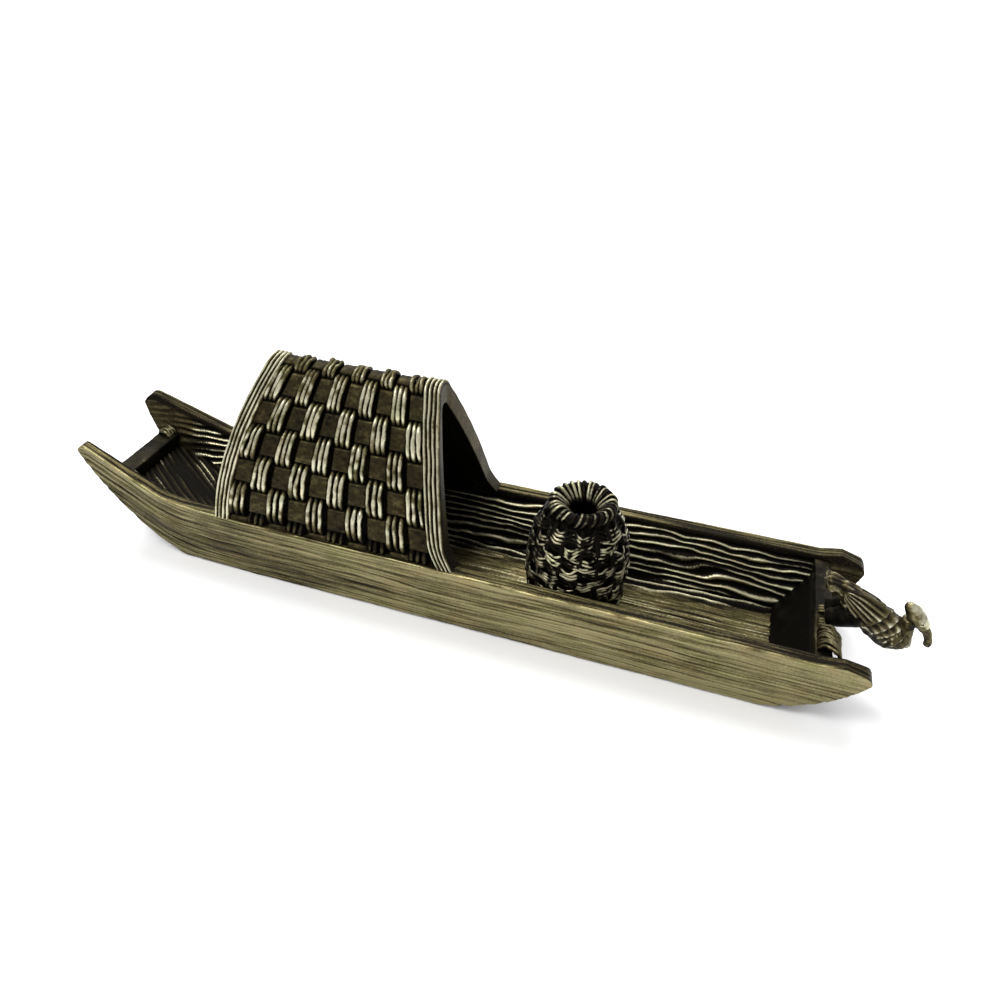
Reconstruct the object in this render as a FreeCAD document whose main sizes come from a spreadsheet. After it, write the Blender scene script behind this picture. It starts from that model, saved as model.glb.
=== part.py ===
import FreeCAD, Part
import math
import os
import Sketcher

Vector = FreeCAD.Vector
Placement = FreeCAD.Placement
Rotation = FreeCAD.Rotation

# Driving dimensions: alias, value in millimetres (or degrees, or a ratio), meaning.
# +X is the bow, +Y is port, +Z is up, and the origin is on the underside, amidships.
DIMENSIONS = (
    ("stern_foot_x", -46.8, "where the flat underside ends at the stern"),
    ("stern_tip_x", -63.3, "stern end of the side planks"),
    ("stern_tip_z", 16.0, "height of the stern tip"),
    ("stern_top_x", -61.5, "top corner of the stern horn"),
    ("stern_top_z", 17.4, "height of the stern horn"),
    ("sheer_low_x", -45.0, "where the gunwale starts to rise"),
    ("sheer_high_x", -49.5, "where the rising gunwale becomes straight"),
    ("sheer_high_z", 12.2, "height of that point"),
    ("gunwale_z", 11.3, "height of the level gunwale"),
    ("bow_foot_x", 44.0, "where the flat underside ends at the bow"),
    ("bow_nub_x", 52.6, "small peak on the bow horn"),
    ("bow_nub_z", 11.9, "height of that peak"),
    ("bow_rise_x", 49.5, "where the gunwale rises towards the peak"),
    ("bow_shoulder_x", 55.1, "top of the rounded bow end"),
    ("bow_shoulder_z", 11.1, "height of that point"),
    ("bow_tip_x", 56.1, "bow end of the side planks"),
    ("bow_tip_z", 9.7, "height of the bow tip"),
    ("stern_rake_radius", 30.0, "rounding of the stern rake"),
    ("bow_rake_radius", 18.0, "rounding of the bow rake"),
    ("stern_round", 1.5, "rounding of the stern horn"),
    ("bow_round", 1.5, "rounding of the bow horn"),
    ("sheer_radius", 24.0, "rounding where the gunwale starts to rise"),
    ("station_stern", -66.0, "lengthwise place of the stern section"),
    ("station_quarter", -48.0, "lengthwise place of the quarter section"),
    ("station_waist", -34.0, "lengthwise place of the waist section"),
    ("station_bow", 58.0, "lengthwise place of the bow section"),
    ("beam_stern", 8.75, "outer half-beam at gunwale height, stern section"),
    ("beam_quarter", 10.85, "the same, quarter section"),
    ("beam_waist", 11.5, "the same, waist section"),
    ("beam_bow", 12.2, "the same, bow section"),
    ("trough_stern", 4.5, "inner half-beam at gunwale height, stern section"),
    ("trough_quarter", 8.8, "the same, quarter section"),
    ("trough_waist", 9.4, "the same, waist section"),
    ("trough_bow", 10.1, "the same, bow section"),
    ("flare_stern", 0.04, "sideways lean of the outer face per millimetre of height, stern section"),
    ("flare_quarter", 0.05, "the same, quarter section"),
    ("flare_waist", 0.08, "the same, waist section"),
    ("flare_bow", 0.1, "the same, bow section"),
    ("inner_flare", 0.38, "sideways lean of the inner face per millimetre of height"),
    ("section_low", -1.0, "lowest point of the hull sections"),
    ("section_high", 21.0, "highest point of the hull sections"),
    ("blank_width", 40.0, "width of the blanks that are trimmed to the hull"),
    ("bottom_thick", 1.4, "thickness of the bottom board"),
    ("deck_top", 2.6, "height of the deck's top"),
    ("bottom_stern_x", -44.5, "stern end of the bottom board"),
    ("bottom_bow_x", 42.5, "bow end of the bottom board"),
    ("deck_stern_x", -43.0, "stern end of the deck"),
    ("deck_bow_x", 45.1, "bow end of the deck"),
    ("ramp_inset", 0.3, "the ramps lie this far inside the planks' rake"),
    ("stern_beam_x", -59.0, "middle of the stern crossbeam"),
    ("stern_beam_top", 11.4, "top of the stern crossbeam"),
    ("stern_beam_wide", 3.4, "width of the stern crossbeam, at its top"),
    ("stern_beam_slant", 1.6, "its outer face leans in by this much at its underside"),
    ("bow_beam_x", 50.2, "middle of the bow crossbeam"),
    ("bow_beam_top", 10.6, "top of the bow crossbeam"),
    ("bow_beam_wide", 2.3, "width of the bow crossbeam"),
    ("beam_deep", 2.0, "depth of both crossbeams"),
    ("bow_ramp_lip", 4.2, "height of the bow ramp's outer lower edge"),
    ("stern_lashing_y", 5.6, "middle of the stern lashing, across the boat"),
    ("stern_lashing_long", 2.4, "length of the stern lashing, along the boat"),
    ("stern_lashing_wide", 2.0, "width of the stern lashing"),
    ("stern_lashing_high", 1.0, "height of the stern lashing"),
    ("bow_lashing_x", 50.8, "middle of the bow lashing, along the boat"),
    ("bow_lashing_y", -7.4, "middle of the bow lashing, across the boat"),
    ("bow_lashing_long", 2.6, "length of the bow lashing, along the boat"),
    ("bow_lashing_wide", 4.2, "width of the bow lashing"),
    ("bow_lashing_high", 1.5, "height of the bow lashing"),
    ("canopy_foot_y", 11.5, "outer half-width of the canopy at the gunwale"),
    ("canopy_shoulder_y", 2.3, "outer half-width where the sides meet the ridge round"),
    ("canopy_shoulder_z", 33.3, "height of that point"),
    ("canopy_ridge_radius", 2.45, "rounding of the ridge"),
    ("canopy_side_radius", 150.0, "slight bulge of the canopy's sides"),
    ("canopy_inner_foot_y", 8.8, "inner half-width at the gunwale"),
    ("canopy_inner_shoulder_y", 0.9, "inner half-width at the ridge round"),
    ("canopy_inner_shoulder_z", 30.9, "height of that point"),
    ("canopy_inner_radius", 1.1, "inner rounding of the ridge"),
    ("canopy_stern_foot_x", -38.4, "stern end of the canopy at the gunwale"),
    ("canopy_stern_ridge_x", -30.9, "stern end of the canopy at the ridge"),
    ("canopy_bow_foot_x", -0.8, "bow end of the canopy at the gunwale"),
    ("canopy_bow_ridge_x", -4.9, "bow end of the canopy at the ridge"),
    ("canopy_top_z", 35.0, "height above the whole canopy"),
    ("rim_wide", 2.4, "width of each canopy rim along the boat"),
    ("shell_inset", 1.0, "the shell lies this far inside the rims' outer face"),
    ("mat_inset", 0.6, "the mat's flat strips lie this far inside it"),
    ("bundle_long", 4.4, "length of a raised bundle, up the side"),
    ("bundle_wide", 2.5, "width of a raised bundle, along the boat"),
    ("bundle_columns", 10, "columns of bundles from rim to rim"),
    ("bundle_rows", 5, "rows of bundles up each side"),
    ("row_pitch", 4.64, "spacing of the rows up the side"),
    ("row_gap", 1.5, "height of the lowest row above the gunwale"),
    ("basket_x", 15.8, "middle of the basket, along the boat"),
    ("basket_y", -1.1, "middle of the basket, across the boat"),
    ("basket_base_radius", 6.5, "radius of the basket on the deck"),
    ("basket_belly_radius", 7.4, "largest radius of the basket"),
    ("basket_belly_z", 9.5, "height of the largest radius"),
    ("basket_shoulder_radius", 6.3, "radius at the shoulder"),
    ("basket_shoulder_z", 17.0, "height of the shoulder"),
    ("basket_neck_radius", 4.4, "radius of the neck"),
    ("basket_neck_z", 19.8, "height of the neck's top"),
    ("basket_foot_round", 12.0, "rounding of the basket below its belly"),
    ("basket_side_round", 26.0, "rounding of the basket above its belly"),
    ("basket_neck_round", 2.6, "rounding from the shoulder into the neck"),
    ("rim_ring_radius", 3.9, "middle radius of the coiled rim"),
    ("rim_tube_radius", 0.95, "thickness radius of the coiled rim"),
    ("rim_z", 20.3, "height of the coiled rim's middle"),
    ("well_radius", 3.0, "radius of the well in the basket's mouth"),
    ("well_floor_z", 14.0, "height of the well's floor"),
    ("stick_hole_radius", 1.25, "radius of the incense stick's hole"),
    ("stick_hole_floor_z", 5.5, "height of the stick hole's floor"),
    ("bird_y", -2.2, "middle of the bird, across the boat"),
    ("bird_pitch", 31.0, "the bird leans forward and down by this angle"),
    ("bird_body_x", 56.1, "middle of the bird's body"),
    ("bird_body_z", 12.2, "height of the middle of the bird's body"),
    ("bird_body_long", 5.7, "half-length of the body"),
    ("bird_body_thick", 2.3, "half-thickness of the body"),
    ("bird_blunt", 0.3, "radius of the small flat at each end of the body and head"),
    ("bird_wing_long", 4.6, "half-length of a folded wing"),
    ("bird_wing_high", 1.7, "half-height of a folded wing"),
    ("bird_wing_thick", 1.4, "thickness of a folded wing"),
    ("bird_wing_out", 1.75, "a wing's middle lies this far from the bird's middle"),
    ("bird_wing_back", 0.8, "a wing's middle lies this far behind the body's"),
    ("bird_wing_rise", 0.6, "and this far above it"),
    ("bird_breast_x", 60.2, "foot of the neck, in the breast"),
    ("bird_breast_z", 9.0, "height of the neck's foot"),
    ("bird_neck_radius", 1.2, "radius of the neck at the breast"),
    ("bird_nape_radius", 1.0, "radius of the neck in the head"),
    ("bird_head_x", 60.6, "middle of the head"),
    ("bird_head_z", 14.0, "height of the head"),
    ("bird_head_long", 2.4, "half-length of the head"),
    ("bird_head_radius", 1.1, "half-width of the head"),
    ("bird_head_pitch", 45.0, "the head leans forward and down by this angle"),
    ("bird_bill_x", 63.4, "the bill's tip"),
    ("bird_bill_z", 9.8, "height of the bill's tip"),
    ("bird_bill_bend_x", 62.3, "where the bill turns down"),
    ("bird_bill_bend_z", 12.3, "height of that bend"),
    ("bird_bill_root_radius", 0.8, "radius of the bill in the head"),
    ("bird_bill_bend_radius", 0.6, "radius of the bill at its bend"),
    ("bird_bill_tip_radius", 0.5, "radius of the bill at its tip"),
    ("bird_tail_x", 49.1, "the tail's tip"),
    ("bird_tail_z", 17.4, "height of the tail's tip"),
    ("bird_tail_radius", 0.8, "radius of the tail at its tip"),
    ("bird_rump_radius", 1.9, "radius of the tail in the body"),
    ("bird_foot_gap", 1.3, "distance of each foot from the bird's middle"),
    ("bird_hip_x", 54.0, "where the legs enter the body"),
    ("bird_leg_radius", 0.7, "radius of a leg at the foot"),
    ("bird_hip_radius", 1.0, "radius of a leg in the body"),
    ("web_long", 2.2, "length of a webbed foot"),
    ("web_wide", 1.6, "width of a webbed foot"),
    ("web_thick", 0.5, "thickness of a webbed foot"),
)

document = FreeCAD.newDocument("incense_boat")
sheet = document.addObject("Spreadsheet::Sheet", "Dims")
for row, (alias, value, meaning) in enumerate(DIMENSIONS, start=1):
    sheet.set(f"A{row}", alias)
    sheet.set(f"B{row}", str(value))
    sheet.set(f"C{row}", meaning)
    sheet.setAlias(f"B{row}", alias)
document.recompute()


def amount(expression):
    """The number that a spreadsheet expression stands for."""
    return float(sheet.evalExpression(expression))


def bind(item, **expressions):
    """Bind properties to spreadsheet expressions; a double underscore stands for a dot."""
    for name, expression in expressions.items():
        item.setExpression(name.replace("__", "."), expression)


# ---- sketches and features ----

def round_edge(start, finish, radius, turn):
    """The short arc from start to finish that turns left or right."""
    middle = (start + finish) * 0.5
    half = (finish - start) * 0.5
    left = Vector(-half.y, half.x, 0).normalize()
    side = 1.0 if turn == "left" else -1.0
    reach = math.sqrt(radius ** 2 - half.Length ** 2)
    crest = middle - left * side * (radius - reach)
    return Part.Arc(start, crest, finish)


def draw_outline(sketch, corners):
    """A closed outline. Each corner is (across, up) or (across, up, radius, turn).

    The last two make the run that leaves the corner an arc. All sizes are expressions.
    """
    points = [Vector(amount(corner[0]), amount(corner[1]), 0) for corner in corners]
    ends = []
    for number, corner in enumerate(corners):
        start = points[number]
        finish = points[(number + 1) % len(points)]
        if len(corner) == 2:
            edge = Part.LineSegment(start, finish)
        else:
            edge = round_edge(start, finish, amount(corner[2]), corner[3])
        sketch.addGeometry(edge, False)
        forward = sketch.getPoint(number, 1).distanceToPoint(start) < 1e-6
        ends.append((1, 2) if forward else (2, 1))
    for number, corner in enumerate(corners):
        following = (number + 1) % len(corners)
        first, last = ends[number]
        sketch.addConstraint(Sketcher.Constraint("Coincident", number, last, following, ends[following][0]))
        sizes = [("DistanceX", "across", corner[0]), ("DistanceY", "up", corner[1])]
        for kind, word, expression in sizes:
            rule = Sketcher.Constraint(kind, -1, 1, number, first, amount(expression))
            sketch.renameConstraint(sketch.addConstraint(rule), f"{word}_{number}")
            sketch.setExpression(f"Constraints.{word}_{number}", expression)
        if len(corner) > 2:
            rule = Sketcher.Constraint("Radius", number, amount(corner[2]))
            sketch.renameConstraint(sketch.addConstraint(rule), f"radius_{number}")
            sketch.setExpression(f"Constraints.radius_{number}", corner[2])


def new_sketch(body, name, plane, corners, offset=None):
    """A sketch on one of the body's own origin planes, moved along its normal by offset."""
    sketch = body.newObject("Sketcher::SketchObject", name)
    origin_plane = [item for item in body.Origin.OriginFeatures if item.Role == plane][0]
    sketch.AttachmentSupport = [(origin_plane, "")]
    sketch.MapMode = "FlatFace"
    if offset:
        sketch.setExpression("AttachmentOffset.Base.z", offset)
    draw_outline(sketch, corners)
    return sketch


def padded_body(name, plane, corners, length):
    """A body made by padding one outline."""
    body = document.addObject("PartDesign::Body", name)
    sketch = new_sketch(body, name + "_outline", plane, corners)
    pad = body.newObject("PartDesign::Pad", name + "_pad")
    pad.Profile = sketch
    pad.Midplane = True
    pad.setExpression("Length", length)
    return body


def lofted_body(name, sections):
    """A body lofted along X through (place, corners) sections."""
    body = document.addObject("PartDesign::Body", name)
    sketches = []
    for number, (place, corners) in enumerate(sections):
        sketches.append(new_sketch(body, f"{name}_section_{number}", "YZ_Plane", corners, place))
    loft = body.newObject("PartDesign::AdditiveLoft", name + "_loft")
    loft.Profile = sketches[0]
    loft.Sections = sketches[1:]
    loft.Ruled = True
    return body


def combined(kind, name, base, tool):
    """A Cut, Common or Fuse of two objects."""
    result = document.addObject("Part::" + kind, name)
    result.Base = base
    result.Tool = tool
    return result


def fused(name, pieces):
    """One solid from several that overlap."""
    result = document.addObject("Part::MultiFuse", name)
    result.Shapes = pieces
    return result


def new_box(name, length, width, height, x, y, z):
    """A box; x and y give its middle, z its underside."""
    box = document.addObject("Part::Box", name)
    bind(box, Length=length, Width=width, Height=height)
    bind(box, Placement__Base__x=f"{x} - ({length}) / 2", Placement__Base__y=f"{y} - ({width}) / 2",
         Placement__Base__z=z)
    return box


# ---- hull ----

def side_outline():
    """The boat from the side: flat underside, raked ends, rising stern horn, small peak at the bow."""
    return [
        ("Dims.stern_foot_x", "0"),
        ("Dims.bow_foot_x", "0", "Dims.bow_rake_radius", "left"),
        ("Dims.bow_tip_x", "Dims.bow_tip_z", "Dims.bow_round", "left"),
        ("Dims.bow_shoulder_x", "Dims.bow_shoulder_z"),
        ("Dims.bow_nub_x", "Dims.bow_nub_z"),
        ("Dims.bow_rise_x", "Dims.gunwale_z"),
        ("Dims.sheer_low_x", "Dims.gunwale_z", "Dims.sheer_radius", "right"),
        ("Dims.sheer_high_x", "Dims.sheer_high_z"),
        ("Dims.stern_top_x", "Dims.stern_top_z", "Dims.stern_round", "left"),
        ("Dims.stern_tip_x", "Dims.stern_tip_z", "Dims.stern_rake_radius", "left"),
    ]


def outer_section(half_beam, flare):
    """Outer face of the hull at one station: a straight flare."""
    low = f"({half_beam} - {flare} * (Dims.gunwale_z - Dims.section_low))"
    high = f"({half_beam} + {flare} * (Dims.section_high - Dims.gunwale_z))"
    return [("-" + low, "Dims.section_low"), (low, "Dims.section_low"),
            (high, "Dims.section_high"), ("-" + high, "Dims.section_high")]


def trough_section(half_beam):
    """Inner face at one station: upright below the deck, and leaning outwards above it."""
    low = f"({half_beam} - Dims.inner_flare * (Dims.gunwale_z - Dims.deck_top))"
    high = f"({half_beam} + Dims.inner_flare * (Dims.section_high - Dims.gunwale_z))"
    return [("-" + low, "Dims.section_low"), (low, "Dims.section_low"), (low, "Dims.deck_top"),
            (high, "Dims.section_high"), ("-" + high, "Dims.section_high"), ("-" + low, "Dims.deck_top")]


STATIONS = ("stern", "quarter", "waist", "bow")

hull_form = lofted_body("hull_form", [
    (f"Dims.station_{station}", outer_section(f"Dims.beam_{station}", f"Dims.flare_{station}"))
    for station in STATIONS])
trough = lofted_body("trough", [
    (f"Dims.station_{station}", trough_section(f"Dims.trough_{station}")) for station in STATIONS])
side_view = padded_body("side_view", "XZ_Plane", side_outline(), "Dims.blank_width")
hull_block = combined("Common", "hull_block", hull_form, side_view)
plank_pair = combined("Cut", "plank_pair", hull_block, trough)


def plank(name, side):
    """One side plank: the half of the pair that lies on one side of the middle plane."""
    length = "(Dims.station_bow - Dims.station_stern)"
    middle = "(Dims.station_bow + Dims.station_stern) / 2"
    half = new_box(name + "_side", length, "Dims.blank_width", "Dims.section_high",
                   middle, f"{side} * Dims.blank_width / 2", "0")
    return combined("Common", name, plank_pair, half)


def between_planks(name, corners):
    """A board that fills the trough: its side outline trimmed to the planks' inner faces."""
    blank = padded_body(name + "_blank", "XZ_Plane", corners, "Dims.blank_width")
    return combined("Common", name, trough, blank)


def board(name, stern, bow, low, high):
    """A level board between the planks."""
    return between_planks(name, [(stern, low), (bow, low), (bow, high), (stern, high)])


def crossbeam(name, place, top, wide, slant):
    """A beam between the planks; slant moves the outer lower edge towards the bow."""
    low = f"{top} - Dims.beam_deep"
    stern = f"({place} - {wide} / 2)"
    bow = f"({place} + {wide} / 2)"
    return between_planks(name, [(f"{stern} + {slant}", low), (bow, low), (bow, top), (stern, top)])


def stern_ramp():
    """Sloping boards from the deck up to the stern crossbeam, lapped over the bottom board."""
    outer_x = "(Dims.stern_beam_x - Dims.stern_beam_wide / 2 + Dims.stern_beam_slant)"
    inner_x = "(Dims.stern_beam_x + Dims.stern_beam_wide / 2)"
    top = "(Dims.stern_beam_top - Dims.beam_deep)"
    return between_planks("stern_ramp", [
        ("Dims.bottom_stern_x", "0"),
        ("Dims.bottom_stern_x", "Dims.bottom_thick"),
        ("Dims.deck_stern_x", "Dims.bottom_thick"),
        ("Dims.deck_stern_x", "Dims.deck_top"),
        (inner_x, top),
        (outer_x, top, "Dims.stern_rake_radius", "left"),
        ("Dims.stern_foot_x + Dims.ramp_inset", "0"),
    ])


def bow_ramp():
    """The slope from the deck's bow end up to the bow crossbeam."""
    inner_x = "(Dims.bow_beam_x - Dims.bow_beam_wide / 2)"
    outer_x = "(Dims.bow_beam_x + Dims.bow_beam_wide / 2)"
    top = "(Dims.bow_beam_top - Dims.beam_deep)"
    return between_planks("bow_ramp", [
        ("Dims.bottom_bow_x", "0"),
        ("Dims.bow_foot_x - Dims.ramp_inset", "0", "Dims.bow_rake_radius", "left"),
        (outer_x, "Dims.bow_ramp_lip"),
        (outer_x, top),
        (inner_x, top),
        ("Dims.deck_bow_x", "Dims.deck_top"),
        ("Dims.deck_bow_x", "Dims.bottom_thick"),
        ("Dims.bottom_bow_x", "Dims.bottom_thick"),
    ])


def stern_lashing():
    """The lump that binds the stern crossbeam to the port plank."""
    lump = new_box("stern_lashing_lump", "Dims.stern_lashing_long", "Dims.stern_lashing_wide",
                   "Dims.stern_lashing_high", "Dims.stern_beam_x", "Dims.stern_lashing_y",
                   "Dims.stern_beam_top")
    return combined("Common", "stern_lashing", trough, lump)


def bow_lashing():
    """The ridged binding over the starboard end of the bow crossbeam."""
    lump = new_box("bow_lashing_lump", "Dims.bow_lashing_long", "Dims.bow_lashing_wide",
                   "Dims.bow_lashing_high", "Dims.bow_lashing_x", "Dims.bow_lashing_y", "Dims.bow_beam_top")
    return combined("Common", "bow_lashing", trough, lump)


bow_crossbeam = crossbeam("bow_crossbeam", "Dims.bow_beam_x", "Dims.bow_beam_top",
                          "Dims.bow_beam_wide", "0")
starboard_plank = plank("starboard_plank", -1)
hull_pieces = [
    starboard_plank,
    plank("port_plank", 1),
    board("bottom_board", "Dims.bottom_stern_x", "Dims.bottom_bow_x", "0", "Dims.bottom_thick"),
    board("deck_floor", "Dims.deck_stern_x", "Dims.deck_bow_x", "Dims.bottom_thick", "Dims.deck_top"),
    stern_ramp(),
    bow_ramp(),
    crossbeam("stern_crossbeam", "Dims.stern_beam_x", "Dims.stern_beam_top", "Dims.stern_beam_wide",
              "Dims.stern_beam_slant"),
    bow_crossbeam,
    stern_lashing(),
    bow_lashing(),
]


# ---- canopy ----

def arch_skin(inset):
    """Foot, shoulder point, ridge radius and side radius of a skin that lies inside the outer face."""
    ridge = f"(Dims.canopy_ridge_radius - {inset})"
    shrink = f"({ridge} / Dims.canopy_ridge_radius)"
    rise = "sqrt(Dims.canopy_ridge_radius ^ 2 - Dims.canopy_shoulder_y ^ 2)"
    return (f"(Dims.canopy_foot_y - {inset})", f"(Dims.canopy_shoulder_y * {shrink})",
            f"(Dims.canopy_shoulder_z - {rise} * (1 - {shrink}))", ridge, "Dims.canopy_side_radius")


def inner_skin():
    """The same for the canopy's inner face."""
    return ("Dims.canopy_inner_foot_y", "Dims.canopy_inner_shoulder_y", "Dims.canopy_inner_shoulder_z",
            "Dims.canopy_inner_radius", "Dims.canopy_side_radius")


def arch_between(name, outer, inner):
    """An A-shaped arch between two skins, open below, longer than the canopy."""
    foot, shoulder_y, shoulder_z, ridge, side = outer
    inner_foot, inner_y, inner_z, inner_ridge, inner_side = inner
    corners = [
        ("-" + foot, "Dims.gunwale_z", side, "right"),
        ("-" + shoulder_y, shoulder_z, ridge, "right"),
        (shoulder_y, shoulder_z, side, "right"),
        (foot, "Dims.gunwale_z"),
        (inner_foot, "Dims.gunwale_z", inner_side, "left"),
        (inner_y, inner_z, inner_ridge, "left"),
        ("-" + inner_y, inner_z, inner_side, "left"),
        ("-" + inner_foot, "Dims.gunwale_z"),
    ]
    return padded_body(name, "YZ_Plane", corners, "Dims.blank_width * 3")


def end_x(end, height_share, inward):
    """Lengthwise place on the raked stern or bow end of the canopy, moved inwards."""
    foot = f"Dims.canopy_{end}_foot_x"
    ridge = f"Dims.canopy_{end}_ridge_x"
    sign = "+" if end == "stern" else "-"
    return f"({foot} + ({ridge} - {foot}) * {height_share} {sign} {inward})"


def end_strip(name, stern_edge, bow_edge):
    """A slab between two raked planes, each an (end, inward) pair, over the canopy's height."""
    stern_end, stern_inward = stern_edge
    bow_end, bow_inward = bow_edge
    corners = [(end_x(stern_end, 0, stern_inward), "Dims.gunwale_z"),
               (end_x(bow_end, 0, bow_inward), "Dims.gunwale_z"),
               (end_x(bow_end, 1, bow_inward), "Dims.canopy_top_z"),
               (end_x(stern_end, 1, stern_inward), "Dims.canopy_top_z")]
    return padded_body(name, "XZ_Plane", corners, "Dims.blank_width")


def canopy_bundles(layer, span):
    """Raised bundles in a chequer over both sides, cut from the mat's outer layer.

    The columns lie between the rims and draw together towards the ridge, as the rims do.
    """
    foot = amount("Dims.canopy_foot_y")
    rise = amount("Dims.canopy_shoulder_z - Dims.gunwale_z")
    slope = math.atan2(foot - amount("Dims.canopy_shoulder_y"), rise)
    columns = int(amount("Dims.bundle_columns"))
    blocks = []
    for side in (-1, 1):
        turn = Rotation(Vector(1, 0, 0), math.degrees(slope) * side)
        up = turn.multVec(Vector(0, 0, 1))
        inward = turn.multVec(Vector(0, amount("-Dims.shell_inset * 1.5"), 0))
        for row in range(int(amount("Dims.bundle_rows"))):
            climb = up * amount(f"Dims.row_gap + {row} * Dims.row_pitch")
            share = (climb.z + amount("Dims.bundle_long") / 2) / rise
            stern_x = amount(end_x("stern", share, "Dims.rim_wide"))
            bow_x = amount(end_x("bow", share, "Dims.rim_wide"))
            for column in range(row % 2, columns, 2):
                middle_x = stern_x + (bow_x - stern_x) * (column + 0.5) / columns
                start_x = middle_x - amount("Dims.bundle_wide / 2")
                start = Vector(start_x, side * foot, amount("Dims.gunwale_z"))
                block = document.addObject("Part::Box", "bundle")
                bind(block, Length="Dims.bundle_wide", Width="Dims.shell_inset * 3",
                     Height="Dims.bundle_long")
                block.Placement = Placement(start + inward + climb, turn)
                blocks.append(block)
    field = document.addObject("Part::Compound", "bundle_field")
    field.Links = blocks
    trimmed = combined("Common", "bundle_trim", field, span)
    return combined("Common", "canopy_bundles", trimmed, layer)


rim_arch = arch_between("rim_arch", arch_skin("0"), inner_skin())
shell_arch = arch_between("shell_arch", arch_skin("Dims.shell_inset"), inner_skin())
mat_arch = arch_between("mat_arch", arch_skin("Dims.mat_inset"), arch_skin("Dims.shell_inset"))
bundle_arch = arch_between("bundle_arch", arch_skin("0"), arch_skin("Dims.mat_inset"))
stern_strip = end_strip("stern_strip", ("stern", "0"), ("stern", "Dims.rim_wide"))
bow_strip = end_strip("bow_strip", ("bow", "Dims.rim_wide"), ("bow", "0"))
mat_span = end_strip("mat_span", ("stern", "Dims.rim_wide"), ("bow", "Dims.rim_wide"))

canopy_pieces = [
    combined("Common", "canopy_shell", shell_arch, mat_span),
    combined("Common", "canopy_mat", mat_arch, mat_span),
    canopy_bundles(bundle_arch, mat_span),
    combined("Common", "canopy_stern_rim", rim_arch, stern_strip),
    combined("Common", "canopy_bow_rim", rim_arch, bow_strip),
]


# ---- basket ----

def basket_turned():
    """The basket turned about its upright axis, with the well and the stick's hole in its mouth."""
    body = document.addObject("PartDesign::Body", "basket_turned")
    sketch = new_sketch(body, "basket_half", "XZ_Plane", [
        ("0", "Dims.deck_top"),
        ("Dims.basket_base_radius", "Dims.deck_top", "Dims.basket_foot_round", "left"),
        ("Dims.basket_belly_radius", "Dims.basket_belly_z", "Dims.basket_side_round", "left"),
        ("Dims.basket_shoulder_radius", "Dims.basket_shoulder_z", "Dims.basket_neck_round", "left"),
        ("Dims.basket_neck_radius", "Dims.basket_neck_z"),
        ("Dims.well_radius", "Dims.basket_neck_z"),
        ("Dims.well_radius", "Dims.well_floor_z"),
        ("Dims.stick_hole_radius", "Dims.well_floor_z"),
        ("Dims.stick_hole_radius", "Dims.stick_hole_floor_z"),
        ("0", "Dims.stick_hole_floor_z"),
    ])
    turned = body.newObject("PartDesign::Revolution", "basket_revolution")
    turned.Profile = sketch
    turned.ReferenceAxis = (sketch, ["V_Axis"])
    turned.Angle = 360.0
    bind(body, Placement__Base__x="Dims.basket_x", Placement__Base__y="Dims.basket_y")
    return body


basket_rim = document.addObject("Part::Torus", "basket_rim")
bind(basket_rim, Radius1="Dims.rim_ring_radius", Radius2="Dims.rim_tube_radius",
     Placement__Base__x="Dims.basket_x", Placement__Base__y="Dims.basket_y", Placement__Base__z="Dims.rim_z")
basket_loose = combined("Cut", "basket_loose", basket_turned(), basket_rim)
basket_body = combined("Cut", "basket_body", basket_loose, starboard_plank)


# ---- cormorant ----

def leaning(body, x, y, z, pitch):
    """Place a body at a point, with its long axis leaning forward and down by pitch degrees."""
    body.Placement = Placement(Vector(0, 0, 0), Rotation(Vector(0, 1, 0), amount(pitch)))
    bind(body, Placement__Base__x=x, Placement__Base__y=y, Placement__Base__z=z)
    return body


def bird_spindle(name, long, thick, fullest, x, z, pitch):
    """A blunt-ended drop turned about its long axis; fullest is where along it the drop is thickest."""
    body = document.addObject("PartDesign::Body", name)
    rise = f"({thick} - Dims.bird_blunt)"
    front = f"({long} - {fullest})"
    rear = f"({long} + {fullest})"
    sketch = new_sketch(body, name + "_half", "XZ_Plane", [
        (f"-{long}", "0"),
        (long, "0"),
        (long, "Dims.bird_blunt", f"({front} ^ 2 + {rise} ^ 2) / (2 * {rise})", "left"),
        (fullest, thick, f"({rear} ^ 2 + {rise} ^ 2) / (2 * {rise})", "left"),
        (f"-{long}", "Dims.bird_blunt"),
    ])
    turned = body.newObject("PartDesign::Revolution", name + "_revolution")
    turned.Profile = sketch
    turned.ReferenceAxis = (sketch, ["H_Axis"])
    turned.Angle = 360.0
    return leaning(body, x, "Dims.bird_y", z, pitch)


def bird_taper(name, start, finish, radius_start, radius_finish):
    """A cone between two (x, y, z) points given as expressions."""
    foot = Vector(*[amount(part) for part in start])
    tip = Vector(*[amount(part) for part in finish])
    cone = document.addObject("Part::Cone", name)
    bind(cone, Radius1=radius_start, Radius2=radius_finish)
    cone.Height = (tip - foot).Length
    cone.Placement = Placement(foot, Rotation(Vector(0, 0, 1), tip - foot))
    return cone


def bird_wing(name, side):
    """A folded wing: a leaf-shaped plate that lies against the body."""
    long = "Dims.bird_wing_long"
    high = "Dims.bird_wing_high"
    bow = f"({long} ^ 2 + {high} ^ 2) / (2 * {high})"
    corners = [("-" + long, "0", bow, "left"), (long, "0", bow, "left")]
    leaf = padded_body(name + "_leaf", "XZ_Plane", corners, "Dims.bird_wing_thick")
    leaning(leaf, "Dims.bird_body_x - Dims.bird_wing_back", f"Dims.bird_y + {side} * Dims.bird_wing_out",
            "Dims.bird_body_z + Dims.bird_wing_rise", "Dims.bird_pitch")
    return combined("Cut", name, leaf, cormorant_body)


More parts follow.
